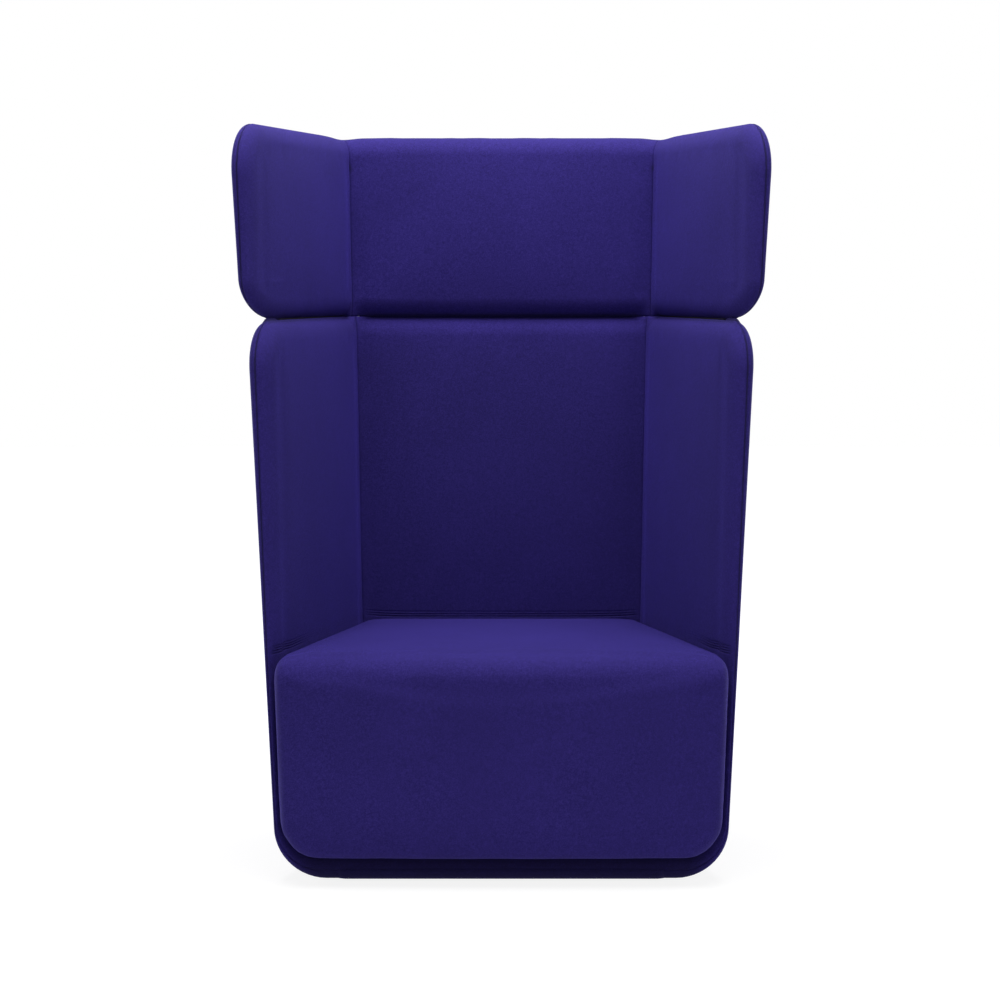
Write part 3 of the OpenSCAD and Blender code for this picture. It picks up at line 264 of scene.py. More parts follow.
# point of the upholstered surface: a blend of the two paths, and its distance from the rim's seam;
# beside the open line each rim swells to the line's middle, and the head's top dips at its corners
def skin(head, outer, e, s, z):
    ox, oy = outerPath(head, z, e, s)
    ix, iy = innerPath(head, z, e, s)
    top = highEdge(head) - z
    d = np.where(s < 1, edgeDistance(head, iy, z), np.minimum(top, z - headBottom) if head else top)
    n = across(outer, d)
    thick = np.hypot(ox - ix, oy - iy)
    fromCorner = np.where(s < 1, (1 - s) * (backFace(z) - wallFront) - e, (s - 1) * cornerHalf(head, z))
    near = bell(fromCorner, 0, lips["cornerWide"])
    place = mix(lips["place"], lips["cornerPlace"], near)
    reach = mix(lips["reach"], lips["cornerReach"], near)
    swell = np.minimum(lips["peak"] * bell(n, place, reach), 1) * (1 - softStep(*lips["ends"], n))
    start = softStep(*(lips["headStart"] if head else lips["shellStart"]), iy - wallFront)
    swell = swell * np.where(s < 1, start, 1) * (abs(z - openMiddle) < lips["near"])
    rise = (openMiddle - z) * swell
    if head:
        dip = bell(fromCorner, 0, np.where(s < 1, *lips["dipWide"]))
        rise = rise - lips["dip"] * dip * softStep(headTop - lips["dipDeep"], headTop, z)
    elif outer:
        rise = rise + (headBottom + lips["beadOver"] - z) * lineBead(n, s, oy - wallFront, z)
    points = np.stack([mix(ix, ox, n), mix(iy, oy, n), z + 0 * ox + rise], -1)
    return points, np.hypot(d, (n - seamShare) * thick)


farAway = 500  # distance given to a place that no seam is near
seamInside = 18  # how far inside the outer face the seam runs round the lower bend


# thickness of the shell's wall round its lower bend, from the wall's own to the base's
def bendThick(y, angle):
    return mix(outerHalf(False, y, bendTop) - innerHalf(False, y, bendTop),
               chair["seatBottom"] - chair["groundGap"], angle / 90)


# how far the outer surface or the front band lies inside the shell's outer face
def bendIn(outer, e, angle):
    return (1 - across(outer, e)) * bendThick(wallFront + e, angle)


# outer surface round the lower bend: a quarter circle at every place of the path
def bendSkin(e, s, angle):
    inside = np.where(s > 0, 0, bendIn(True, e, angle))
    r = chair["sideBend"] - inside
    z = bendTop - r * np.sin(np.radians(angle))
    backDraw = filletDrop(chair["rearBend"], chair["groundGap"] + chair["rearBend"] - z) + inside
    draw = chair["sideBend"] - r * np.cos(np.radians(angle))
    x, y = outerPath(False, bendTop + 0 * z, e, s, draw, backDraw)
    return np.stack([x, y, z + 0 * x], -1), np.hypot(e + farAway * (s > 0), inside - seamInside)


# flange turned under the base: flat, at a share t of its width
def flangeSkin(e, s, t):
    inside = np.where(s > 0, 0, bendIn(True, e, 90))
    x, y = outerPath(False, bendTop + 0 * e, e, s, chair["sideBend"] + chair["bendFlat"] * t,
                     chair["rearBend"] + chair["bendFlat"] * t)
    return np.stack([x, y, chair["groundGap"] + inside + 0 * x], -1), farAway + 0 * x


# unit normals of a grid of points, from the cross product of its two directions
def gridNormals(points):
    du, dv = np.gradient(points, axis=1), np.gradient(points, axis=0)
    n = np.cross(du, dv)
    length = np.linalg.norm(n, axis=-1, keepdims=True)
    return n / np.maximum(length, 1e-9)


# metric lengths along a grid's rows and columns
def gridLengths(points):
    u = np.concatenate([[0], np.cumsum(np.linalg.norm(np.diff(points, axis=1), axis=-1).mean(0))])
    v = np.concatenate([[0], np.cumsum(np.linalg.norm(np.diff(points, axis=0), axis=-1).mean(1))])
    return np.broadcast_to(u[None, :], points.shape[:2]), np.broadcast_to(v[:, None], points.shape[:2])


# mesh object from a grid of points in millimetres, its quads wound so that its normals face outward
def gridObject(name, points, flip=False, closed=False, shade=None):
    rows, cols = points.shape[:2]
    mesh = bpy.data.meshes.new(name)
    r, c = np.meshgrid(np.arange(rows - 1), np.arange(cols if closed else cols - 1), indexing="ij")
    nextC = (c + 1) % cols
    quads = np.stack([r * cols + c, r * cols + nextC, (r + 1) * cols + nextC, (r + 1) * cols + c], -1)
    quads = quads.reshape(-1, 4)
    if flip:
        quads = quads[:, ::-1]
    mesh.vertices.add(rows * cols)
    mesh.vertices.foreach_set("co", (points.reshape(-1) * 0.001).astype(np.float32))
    mesh.loops.add(quads.size)
    mesh.loops.foreach_set("vertex_index", quads.reshape(-1).astype(np.int32))
    mesh.polygons.add(len(quads))
    mesh.polygons.foreach_set("loop_start", np.arange(0, quads.size, 4, dtype=np.int32))
    mesh.polygons.foreach_set("use_smooth", np.ones(len(quads), bool))
    # painted shade: a point attribute that darkens the fabric's colour where shade falls, in seams, creases,
    # gaps and under the seat
    if shade is not None:
        dark = mesh.attributes.new("seamShade", "FLOAT", "POINT")
        dark.data.foreach_set("value", np.clip(shade, 0, 1).reshape(-1).astype(np.float32))
    mesh.update(calc_edges=True)
    mesh.validate()
    piece = bpy.data.objects.new(name, mesh)
    scene.collection.objects.link(piece)
    return piece


# gives a surface the cloth's thickness, inward from its face
def solidify(piece, thickness):
    wall = piece.modifiers.new("thickness", "SOLIDIFY")
    wall.thickness = thickness * 0.001
    wall.offset = -1
    wall.use_even_offset = False
    return piece


# one output of a node, so that sums of values read as ordinary Python
class Wire:
    def __init__(self, tree, socket):
        self.tree, self.socket = tree, socket

    def maths(self, operation, first, second):
        return addNode(self.tree, "ShaderNodeMath", {"operation": operation}, {0: first, 1: second})

    def __add__(self, other):
        return self.maths("ADD", self, other)

    def __radd__(self, other):
        return self.maths("ADD", other, self)

    def __sub__(self, other):
        return self.maths("SUBTRACT", self, other)

    def __rsub__(self, other):
        return self.maths("SUBTRACT", other, self)

    def __mul__(self, other):
        return self.maths("MULTIPLY", self, other)

    def __rmul__(self, other):
        return self.maths("MULTIPLY", other, self)

    def __pow__(self, other):
        return self.maths("POWER", self, other)


# adds a node of a type: its settings first, then each socket's value or link, and gives one output back
def addNode(tree, kind, settings=None, inputs=None, output=0):
    node = tree.nodes.new(kind)
    for key, value in (settings or {}).items():
        if key == "stops":
            ramp = node.color_ramp
            while len(ramp.elements) < len(value):
                ramp.elements.new(0.5)
            for element, (place, colour) in zip(ramp.elements, value):
                element.position, element.color = place, (*colour, 1)
        else:
            setattr(node, key, value)
    for key, value in (inputs or {}).items():
        socket = node.inputs[key]
        if isinstance(value, Wire):
            tree.links.new(value.socket, socket)
        else:
            socket.default_value = value
    return Wire(tree, node.outputs[output]) if len(node.outputs) else None


def newMaterial(name):
    material = bpy.data.materials.new(name)
    material.use_nodes = True
    tree = material.node_tree
    tree.nodes.clear()
    return material, tree


def finishMaterial(tree, inputs):
    shader = addNode(tree, "ShaderNodeBsdfPrincipled", {}, inputs)
    addNode(tree, "ShaderNodeOutputMaterial", {}, {"Surface": shader})


# colour from sRGB numbers of 0 to 255
def srgb(r, g, b):
    return tuple(c / 255 / 12.92 if c <= 10 else ((c / 255 + 0.055) / 1.055) ** 2.4 for c in (r, g, b))


# place in the object's own coordinates
def objectPlace(tree):
    return addNode(tree, "ShaderNodeTexCoord", output="Object")


# x, y and z of a vector
def parts(tree, vector):
    split = addNode(tree, "ShaderNodeSeparateXYZ", {}, {0: vector})
    return [Wire(tree, split.socket.node.outputs[i]) for i in range(3)]


def sine(tree, value):
    return addNode(tree, "ShaderNodeMath", {"operation": "SINE"}, {0: value})


def noiseNode(tree, place, size, detail):
    return addNode(tree, "ShaderNodeTexNoise", {}, {"Vector": place, "Scale": size, "Detail": detail})


# colour by a tone, from stops of a place and a colour
def ramp(tree, tone, stops):
    return addNode(tree, "ShaderNodeValToRGB", {"stops": stops}, {"Fac": tone})


def bumpNode(tree, height, strength, depth):
    return addNode(tree, "ShaderNodeBump", {}, {"Height": height, "Strength": strength, "Distance": depth})


# Wool's colours, weave and sheen; painted shade in creases, seams, gaps and under the seat mixes the colour
# towards shadow
fabric = {
    "dark": srgb(30, 20, 88), "middle": srgb(40, 29, 107), "light": srgb(53, 41, 130),
    "yarn": 0.0016, "turn": 0.03, "fuzz": 420, "mottle": 150, "slow": 7, "stops": (0.24, 0.42, 0.60),
    "roughness": 0.92, "specular": 0.25, "sheen": 0.42, "sheenRough": 0.2, "sheenTint": srgb(104, 84, 255),
    "paintedShadowMix": 0.8, "shadow": srgb(12, 8, 40), "bump": (0.35, 0.0006),
}


# product of two crossing sets of yarns on the plane that the surface faces most
def weaveHeight(tree, pitch, turn=0.0):
    place = objectPlace(tree)
    facing = Wire(tree, place.socket.node.outputs["Normal"])
    turned = addNode(tree, "ShaderNodeMapping", {}, {"Vector": place, "Rotation": (turn, turn, turn)})
    wave = 2 * math.pi / pitch
    sx, sy, sz = [sine(tree, p * wave) for p in parts(tree, turned)]
    nx, ny, nz = [p ** 2.0 for p in parts(tree, facing)]
    return sy * sz * nx + sx * sz * ny + sx * sy * nz


# woven wool: two crossing sets of yarns, a fuzz over them, a slow mottling of the dye, and painted shade from
# each piece's attribute
def fabricMaterial():
    material, tree = newMaterial("violetFabric")
    place = objectPlace(tree)
    weave = weaveHeight(tree, fabric["yarn"], fabric["turn"])
    fuzz, mottle, slow = [noiseNode(tree, place, fabric[key], detail)
                          for key, detail in (("fuzz", 2.0), ("mottle", 3.0), ("slow", 2.0))]
    tone = weave * 0.10 + fuzz * 0.50 + mottle * 0.22 + slow * 0.12
    colour = ramp(tree, tone, list(zip(fabric["stops"], (fabric["dark"], fabric["middle"], fabric["light"]))))
    # painted shade: the piece's shade attribute mixes the colour towards a shadow colour, in creases, seams,
    # gaps and under the seat
    shadeWeight = addNode(tree, "ShaderNodeAttribute", {"attribute_name": "seamShade"}, output="Fac")
    colour = addNode(tree, "ShaderNodeMix", {"data_type": "RGBA"},
                     {0: shadeWeight * fabric["paintedShadowMix"], 6: colour, 7: (*fabric["shadow"], 1)}, output=2)
    finishMaterial(tree, {
        "Base Color": colour, "Roughness": fabric["roughness"],
        "Normal": bumpNode(tree, weave * 0.5 + fuzz * 0.9 + mottle * 0.3, *fabric["bump"]),
        "Specular IOR Level": fabric["specular"], "Sheen Weight": fabric["sheen"],
        "Sheen Roughness": fabric["sheenRough"], "Sheen Tint": (*fabric["sheenTint"], 1)})
    return material


violetFabric = fabricMaterial()
print("fabric ready")

# How the cloth settles on its stuffing
cloth = {"frames": 18, "quality": 5, "mass": 0.3, "stiff": 12.0, "bend": 0.8, "levels": 10, "margin": 40}


# points of a mesh in metres, or its points' normals
def meshPoints(mesh, what="co"):
    flat = np.empty(len(mesh.vertices) * 3, np.float32)
    mesh.vertices.foreach_get(what, flat)
    return flat.reshape(-1, 3).astype(float)


# moves of a piece's points after the cloth has settled: slightly too large, held along its seams and
# pushed outward by the stuffing; each move is shortened to the limit by limit * tanh(length / limit)
def settledMoves(piece, held, grow, pressure, limit):
    start = meshPoints(piece.data)
    group = piece.vertex_groups.new(name="held")
    level = np.round(np.clip(held, 0, 1) * cloth["levels"]).astype(int)
    for step in range(1, cloth["levels"] + 1):
        group.add(np.flatnonzero(level == step).tolist(), step / cloth["levels"], "REPLACE")
    soft = piece.modifiers.new("cloth", "CLOTH")
    part = soft.settings
    part.quality, part.mass, part.vertex_group_mass = cloth["quality"], cloth["mass"], "held"
    part.tension_stiffness = part.compression_stiffness = cloth["stiff"]
    part.shear_stiffness, part.bending_stiffness = cloth["stiff"] / 3, cloth["bend"]
    part.shrink_min = part.shrink_max = -grow
    part.use_pressure, part.uniform_pressure_force = True, pressure
    part.effector_weights.gravity = 0
    soft.collision_settings.use_collision = False
    soft.point_cache.frame_start, soft.point_cache.frame_end = 1, cloth["frames"]
    for step in range(1, cloth["frames"] + 1):
        scene.frame_set(step)
    shaped = piece.evaluated_get(bpy.context.evaluated_depsgraph_get())
    moves = meshPoints(shaped.data) - start
    piece.modifiers.remove(soft)
    piece.vertex_groups.remove(group)
    scene.frame_set(1)
    length = np.linalg.norm(moves, axis=1, keepdims=True)
    return moves * limit * np.tanh(length / limit) / np.maximum(length, 1e-9)


# moves of an even grid of points in millimetres, held along its four edges over a short distance
def settledGrid(points, grow, pressure, limit):
    rows, cols = points.shape[:2]
    piece = gridObject("cushionTrial", points)
    u, v = gridLengths(points)
    edge = np.minimum(np.minimum(u, u.max() - u), np.minimum(v, v.max() - v))
    held = 1 - softStep(0, cloth["margin"], edge.reshape(-1))
    moves = settledMoves(piece, held, grow, pressure, limit * 0.001)
    bpy.data.objects.remove(piece)
    return moves.reshape(rows, cols, 3) * 1000


# values of an even grid over rows v and columns u, read between its points at the places vAt, uAt
def between(values, v, u, vAt, uAt):
    def cell(places, x):
        i = np.clip(np.searchsorted(places, x) - 1, 0, len(places) - 2)
        return i, np.clip((x - places[i]) / (places[i + 1] - places[i]), 0, 1)[..., None]

    (i, a), (j, b) = cell(v, vAt), cell(u, uAt)
    return mix(mix(values[i, j], values[i, j + 1], b), mix(values[i + 1, j], values[i + 1, j + 1], b), a)


# Upholstered panels: sizes in millimetres, grow as a share, the rest shares and strengths
panel = {
    "creaseDepth": 1.5, "creaseWidth": 5, "creaseWave": 0.3, "creaseWaveLong": 26, "creasePull": 0.9,
    "creaseShade": (0.45, 1.2), "puckerShade": (0.75, 5), "rimDepth": 1.6, "rimWidth": 3.2, "hemDeep": 0.6,
    "ripple": 0.3, "rippleWall": (9, 60), "rippleBack": (6, 70), "calmCorner": 14, "calmRim": (4, 20),
    "calmFoot": 40, "faceRim": (20, 110), "tuck": (4, 9), "tuckEnd": 40, "tuckDrop": 0.8,
    "puckerHeight": 1338, "puckerDepth": 0.5, "puckerWide": 7, "puckerRows": (20, 15),
    "grow": 0.002, "pressure": 1.0, "limit": 1.8, "uneven": 0.5, "unevenLong": (14, 38), "evenEdge": 8,
    "wallFolds": ((428.5, 1.2), (433, 1.4), (437.5, 1.2), (442, 0.9)), "foldWide": 1.3,
    "foldRows": (423, 449, 36), "foldLeast": 0.15, "foldRun": (0.16, 0.36), "foldWave": (1.5, 12),
    "foldTurn": (4, 8),
    "backFolds": ((431.5, 1.5), (436, 1.3), (441, 1.0)), "backFade": (0.75, 0.25, 8), "foldShade": 0.6,
    "innerShade": 0.2, "openShade": 4.5, "shadeWide": 1.3, "hemStart": (0.16, 0.32), "hemInner": (12, 4),
    "fill": 0.95,
}
# Counts of a panel's grid lines: over its rims, round its corners and along its faces; close is a face's last
# part, as a share, with its lines
grid = {
    "wallRim": 14, "wall": 70, "wallClose": (0.85, 8), "backHalf": 60, "backClose": (0.03, 9),
    "corner": 34, "step": 9, "coarseWall": (0.08, 46), "coarseBack": 64, "coarseRows": (60, 36),
    "outerRim": 10, "outerStart": 0.05, "outerWall": 46, "outerTurn": 9, "outerBack": 26, "bend": 14,
    "flange": (0.2, 4), "bandRim": 12, "band": (60, 6), "bandWall": 30, "bandBend": 22, "bandFlat": 60,
    "underRim": 8, "under": 60,
}
cornerWay = np.array([-0.61, 0.79, 0])  # the way into the left corner's padding
endRow = 0.3  # a row this near an open end keeps its shading even
wallLong = 500  # about a wall's length from front to back


# places over a rim: distances bunched at the edge, by one minus the cosine
def rimPlaces(radius, steps):
    return radius * (1 - np.cos(np.linspace(0, np.pi / 2, steps)))


# distances e and shares s of several stretches of a path, one after the other
def spread(parts):
    e = np.concatenate([np.asarray(p[0], float) for p in parts])
    s = np.concatenate([np.asarray(p[1], float) for p in parts])
    return e, s


# places along a wall: over its front rim, along it, and closer together at the far end
def wallPlaces(radius):
    rim = rimPlaces(radius, grid["wallRim"])
    along = np.linspace(radius / wallLong, 1, grid["wall"])[1:]
    share, count = grid["wallClose"]
    close = 1 - (1 - along[-2]) * np.linspace(share, 0, count)
    along = np.unique(np.concatenate([along, close]))
    return spread([(rim, 0 * rim), (0 * along, along)])


# heights bunched in the rounded corners, at the rims and at the folds above the seat
def heights(head, low):
    arc = np.sin(np.linspace(0, np.pi / 2, grid["corner"]))
    r = cornerRadius(head)
    high = highEdge(head) - r * (1 - arc)
    if head:
        bottom = (headBottom + chair["headLowRise"] * (1 - arc))[::-1]
        near, rows = panel["puckerRows"]
        dense = panel["puckerHeight"] + np.linspace(-near, near, rows)
    else:
        bottom = np.array([low, low + endRow])
        dense = np.linspace(*panel["foldRows"]) if low < panel["foldRows"][0] else np.array([low])
    middle = np.linspace(bottom[-1], high[0], int((high[0] - bottom[-1]) / grid["step"]) + 1)[1:-1]
    middle = middle[np.abs(middle - dense.mean()) > (dense[-1] - dense[0]) / 2 + 1]
    return np.unique(np.round(np.concatenate([bottom, middle, dense, high]), 4))


# groove of a seam, from the distance to it: a quarter round up to its width
def groove(d, depth, width):
    return -depth * (1 - rounding(d / width))


# pull of the head's pucker at a height
def puckerPull(head, z):
    return bell(z, panel["puckerHeight"], panel["puckerWide"]) if head else 0 * z


# crease at a back corner: both panels turn down into the same line, deeper at the head's pucker
def crease(head, distance, z):
    pull = puckerPull(head, z)
    wave = panel["creaseWave"] * noise(z / panel["creaseWaveLong"], 0 * z, 5 + head)
    depth = panel["creaseDepth"] + panel["puckerDepth"] * pull + wave
    width = panel["creaseWidth"] * (1 + panel["creasePull"] * pull)
    return (depth * (1 - rounding(distance / width)))[..., None] * cornerWay


# folds along the foot of the shell's inner faces, where the fabric goes down behind the seat: a bell at each
# height, with its depth and its painted shade
def footFolds(z, fade, lift, folds):
    h, dark = 0 * z, 0 * z
    for height, depth in folds:
        line = bell(z - lift, height, panel["foldWide"])
        h = h - depth * fade * line
        dark = np.maximum(dark, panel["foldShade"] * depth * fade * line)
    return h, dark


# painted shade along the rim seam's groove, down a back corner's crease and round its pucker, and in the open
# line between shell and head
def paintedCreaseShade(head, rim, corner, z):
    deep, wide = panel["creaseShade"]
    deepPull, widePull = panel["puckerShade"]
    dark = deep * bell(corner, 0, wide) + deepPull * puckerPull(head, z) * bell(corner, 0, widePull)
    dark = np.maximum(bell(rim, 0, panel["shadeWide"]), dark)
    return np.maximum(dark, bell(z, openMiddle, panel["openShade"]))


# columns that go on from a crease down into the padding, so that the two panels overlap there
def tuckedColumns(edge, z, head, way):
    end = panel["tuckEnd"]
    drop = softStep(highEdge(head) - end, highEdge(head), z)
    drop = drop - (softStep(headBottom + end, headBottom, z) if head else 0 * z)
    run = np.stack([way[0] + 0 * z, way[1] + 0 * z, -panel["tuckDrop"] * drop], -1)
    return np.stack([edge + run * k for k in panel["tuck"]], 1)


# points moved outward along their normals by h
def raised(points, h, flip):
    n = gridNormals(points)
    return points + n * (np.asarray(h) * (-1 if flip else 1))[..., None]


# factors for points, which turn those past the middle over to the other side
def mirrorOf(past):
    sign = np.where(past, -1.0, 1.0)
    return np.stack([sign, 0 * sign + 1, 0 * sign + 1], -1)


# the sewn hem along the head's top: its share at a height, and the groove of the rim's seam, deeper there
def hemShare(head, z, low, full):
    return softStep(highEdge(head) - low, highEdge(head) - full, z) * head


def rimGroove(rim, hem):
    return groove(rim, panel["rimDepth"], panel["rimWidth"]) * (1 + panel["hemDeep"] * hem)


# a piece of fabric rides on the chair and stands for nodes of the part, which it hides
def declare(piece, replaced):
    piece.data.materials.clear()
    piece.data.materials.append(violetFabric)
    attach(piece, "chair")
    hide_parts(*replaced)
    return piece


def upholster(name, points, flip, replaced, shade):
    return declare(solidify(gridObject(name, points, flip, shade=shade), chair["cover"]), replaced)


# name of a panel and the nodes that it replaces
def panelNames(head, kind, node):
    section = "head" if head else "shell"
    return section + kind, [section + "_" + node % layer for layer in ("cover", "padding")]


# how the cloth of one inner face settles: an even grid over shares and heights, read where it is needed
def faceMoves(head, s, sAt, zAt, seed):
    low, edge = headBottom + panel["evenEdge"] if head else tuckHeight, panel["evenEdge"]
    z = np.linspace(low, highEdge(head) - edge, grid["coarseRows"][head])
    sAll, zAll = np.broadcast_arrays(s[None, :], z[:, None])
    points, rim = skin(head, False, 0 * sAll, np.where(sAll > 2, 4 - sAll, sAll), zAll)
    points = points * mirrorOf(sAll > 2)
    along, up = panel["unevenLong"]
    points = raised(points, panel["uneven"] * noise(sAll * along, zAll / up, seed), False)
    moves = settledGrid(points, panel["grow"], panel["pressure"], panel["limit"])
    return between(moves, z, s, zAt, sAt)


# an inner face with its ripples, folds, rim seam, settled moves and creases, and its painted shade: that in
# its seams, creases and folds and, in the shell, over the face itself, where less light comes in
def finishedFace(head, points, rim, corner, z, ripple, folds, hem, moves, mirror):
    face = softStep(*panel["faceRim"], rim)
    h, dark = folds
    points = raised(points, ripple + h + rimGroove(rim, hem), False)
    points = points + moves * face[..., None] + crease(head, corner, z) * mirror
    dark = np.maximum(dark, panel["innerShade"] * (not head) * face)
    return points, np.maximum(paintedCreaseShade(head, rim, corner, z), dark)


# left or right wall's inner panel: the face, the rim over its front and top, and the seam in the corner
def wallPanel(head, side):
    z = heights(head, tuckHeight)
    e, s = wallPlaces(chair["rimInner"])
    length = (backFace(z) - frontLine(head, z))[:, None]
    eAll, sAll, zAll = np.broadcast_arrays(e[None, :], s[None, :], z[:, None])
    points, rim = skin(head, False, eAll, sAll, zAll)
    corner = np.maximum((1 - sAll) * length - eAll, 0)
    start, count = grid["coarseWall"]
    places = np.linspace(start, 1, count)
    moves = faceMoves(head, places, sAll + eAll / length, zAll, 31 + head + 2 * (side > 0))
    calm = softStep(0, panel["calmCorner"], corner) * softStep(*panel["calmRim"], rim)
    calm = calm * softStep(tuckHeight, tuckHeight + panel["calmFoot"], zAll)
    along, up = panel["rippleWall"]
    ripple = panel["ripple"] * noise(sAll * along, zAll / up, 11 + head + 4 * (side > 0)) * calm
    least = panel["foldLeast"]
    fade = (least + (1 - least) * (1 - softStep(*panel["foldRun"], sAll))) * calm * (not head)
    high, many = panel["foldWave"]
    folds = footFolds(zAll, fade, high * noise(sAll * many, 0 * zAll, 53), panel["wallFolds"])
    hem = hemShare(head, zAll, *panel["hemInner"]) * softStep(*panel["hemStart"], sAll)
    points, shade = finishedFace(head, points, rim, corner, zAll, ripple, folds, hem, moves, 1)
    points = np.concatenate([points, tuckedColumns(points[:, -1], z, head, cornerWay)], 1)
    shade = np.concatenate([shade, shade[:, -1:], shade[:, -1:]], 1)
    if side > 0:
        points = points * np.array([-1, 1, 1])
    hand = "left" if side < 0 else "right"
    name, replaced = panelNames(head, "Wall" + hand.capitalize(), "%s_" + hand)
    return upholster(name, points, side > 0, replaced, shade)


# the back's inner panel, from corner to corner: the face, the rim over its top, and the seams in both corners
def backPanel(head):
    z = heights(head, tuckHeight)
    share, count = grid["backClose"]
    s = np.unique(np.concatenate([np.linspace(1, 2, grid["backHalf"]), 1 + share * np.linspace(0, 1, count)]))
    s = np.concatenate([s, 4 - s[-2::-1]])
    sAll, zAll = np.broadcast_arrays(s[None, :], z[:, None])
    half = np.where(sAll > 2, 4 - sAll, sAll)
    points, rim = skin(head, False, 0 * sAll, half, zAll)
    mirror = mirrorOf(sAll > 2)
    points = points * mirror
    corner = (half - 1) * cornerHalf(head, zAll)
    moves = faceMoves(head, np.linspace(1, 3, grid["coarseBack"]), sAll, zAll, 41 + head)
    calm = softStep(0, panel["calmCorner"], corner) * softStep(*panel["calmRim"], rim)
    along, up = panel["rippleBack"]
    ripple = panel["ripple"] * noise(sAll * along, zAll / up, 21 + head) * calm
    whole, part, many = panel["backFade"]
    fade = (whole + part * noise(sAll * many, 0 * zAll, 54)) * calm * (not head)
    lift, power = panel["foldTurn"]
    folds = footFolds(zAll, fade, lift * (2 - half) ** power, panel["backFolds"])
    hem = hemShare(head, zAll, *panel["hemInner"])
    points, shade = finishedFace(head, points, rim, corner, zAll, ripple, folds, hem, moves, mirror)
    points = np.concatenate([tuckedColumns(points[:, 0], z, head, cornerWay)[:, ::-1], points,
                             tuckedColumns(points[:, -1], z, head, cornerWay * [-1, 1, 1])], 1)
    shade = np.concatenate([shade[:, :1], shade[:, :1], shade, shade[:, -1:], shade[:, -1:]], 1)
    name, replaced = panelNames(head, "Back", "%s_back")
    return upholster(name, points, False, replaced, shade)


# Outer covers: a rolled hem runs along the head's top, in millimetres from the seam; rollShade is the painted
# shade under the hem, its strength and gain
outside = {
    "rollHeight": 1.5, "rollPlace": 5.5, "rollWide": 3.5, "rollTop": (26, 6), "rollWave": (0.25, 16),
    "rollShade": (0.6, 1.3), "fill": 1.0,
}
# Foot of the front: its shade fades out with the height, towards the sides and behind the front
foot = {
    "shade": 0.8, "high": (170, 60), "sides": (415, 340), "behind": (70, 35), "fill": 0.9,
    "stretch": 0.5, "stretchLong": (110, 6), "stretchIn": 10, "stretchRun": (250, 420), "sewnRun": (330, 420),
    "lift": 0.9, "liftRun": 12, "longer": 8,
}


# darkness of the front's foot, where little light comes in under the seat
def baseShade(points):
    x, y, z = np.abs(points[..., 0]), points[..., 1], points[..., 2]
    start, end = foot["behind"]
    dark = foot["shade"] * softStep(*foot["high"], z) * softStep(*foot["sides"], x)
    return dark * softStep(wallFront + start, wallFront + end, y)


# outer cover in one piece from front rim to front rim; the shell's goes on round the lower bend and under it
def outerPanel(head):
    z = heights(head, bendTop)
    rim = rimPlaces(chair["rimOuter"], grid["outerRim"])
    ends = (grid["outerStart"], straightShare, 1, 2 - straightShare, 2)
    counts = (grid["outerWall"], grid["outerTurn"], grid["outerTurn"], grid["outerBack"])
    along = np.unique(np.concatenate([np.linspace(*row) for row in zip(ends, ends[1:], counts)]))
    e, s = spread([(rim, 0 * rim), (0 * along, along)])
    e, s = np.concatenate([e, e[-2::-1]]), np.concatenate([s, 4 - s[-2::-1]])
    eAll, sAll, zAll = np.broadcast_arrays(e[None, :], s[None, :], z[:, None])
    mirror = np.arange(len(s)) > (len(s) - 1) // 2
    half = np.where(mirror[None, :], 4 - sAll, sAll)
    points, d = skin(head, True, eAll, half, zAll)
    if not head:
        turns = np.linspace(90, 0, grid["bend"])[:-1, None]
        eBend, sBend, angles = np.broadcast_arrays(e[None, :], half[:1], turns)
        bend, bendD = bendSkin(eBend, sBend, angles)
        least, count = grid["flange"]
        eFlat, sFlat, width = np.broadcast_arrays(e[None, :], half[:1], np.linspace(1, least, count)[:, None])
        flange, flangeD = flangeSkin(eFlat, sFlat, width)
        points, d = np.concatenate([flange, bend, points]), np.concatenate([flangeD, bendD, d])
    points = points * mirrorOf(mirror)
    top = hemShare(head, points[..., 2], *outside["rollTop"]) * softStep(*panel["hemStart"], half[:1])
    wave, many = outside["rollWave"]
    hem = bell(d, outside["rollPlace"], outside["rollWide"]) * top
    hem = hem * (1 + wave * noise(half[:1] * many + 0 * d, 0 * d, 52))
    points = raised(points, rimGroove(d, top) + outside["rollHeight"] * hem, True)
    # painted shade: in the seam's groove, under the rolled hem, in the open line and at the foot under the
    # seat
    dark, gain = outside["rollShade"]
    shade = np.maximum(bell(d, 0, panel["shadeWide"]), dark * np.clip(gain * hem, 0, 1))
    shade = np.maximum(shade, bell(points[..., 2], openMiddle, panel["openShade"]))
    shade = np.maximum(shade, baseShade(points))
    name, replaced = panelNames(head, "Outer", "outer_%s")
    return upholster(name, points, True, replaced, shade)


for isHead in (False, True):
    for side in (-1, 1):
        wallPanel(isHead, side)
    backPanel(isHead)
    outerPanel(isHead)
print("walls and backs upholstered")


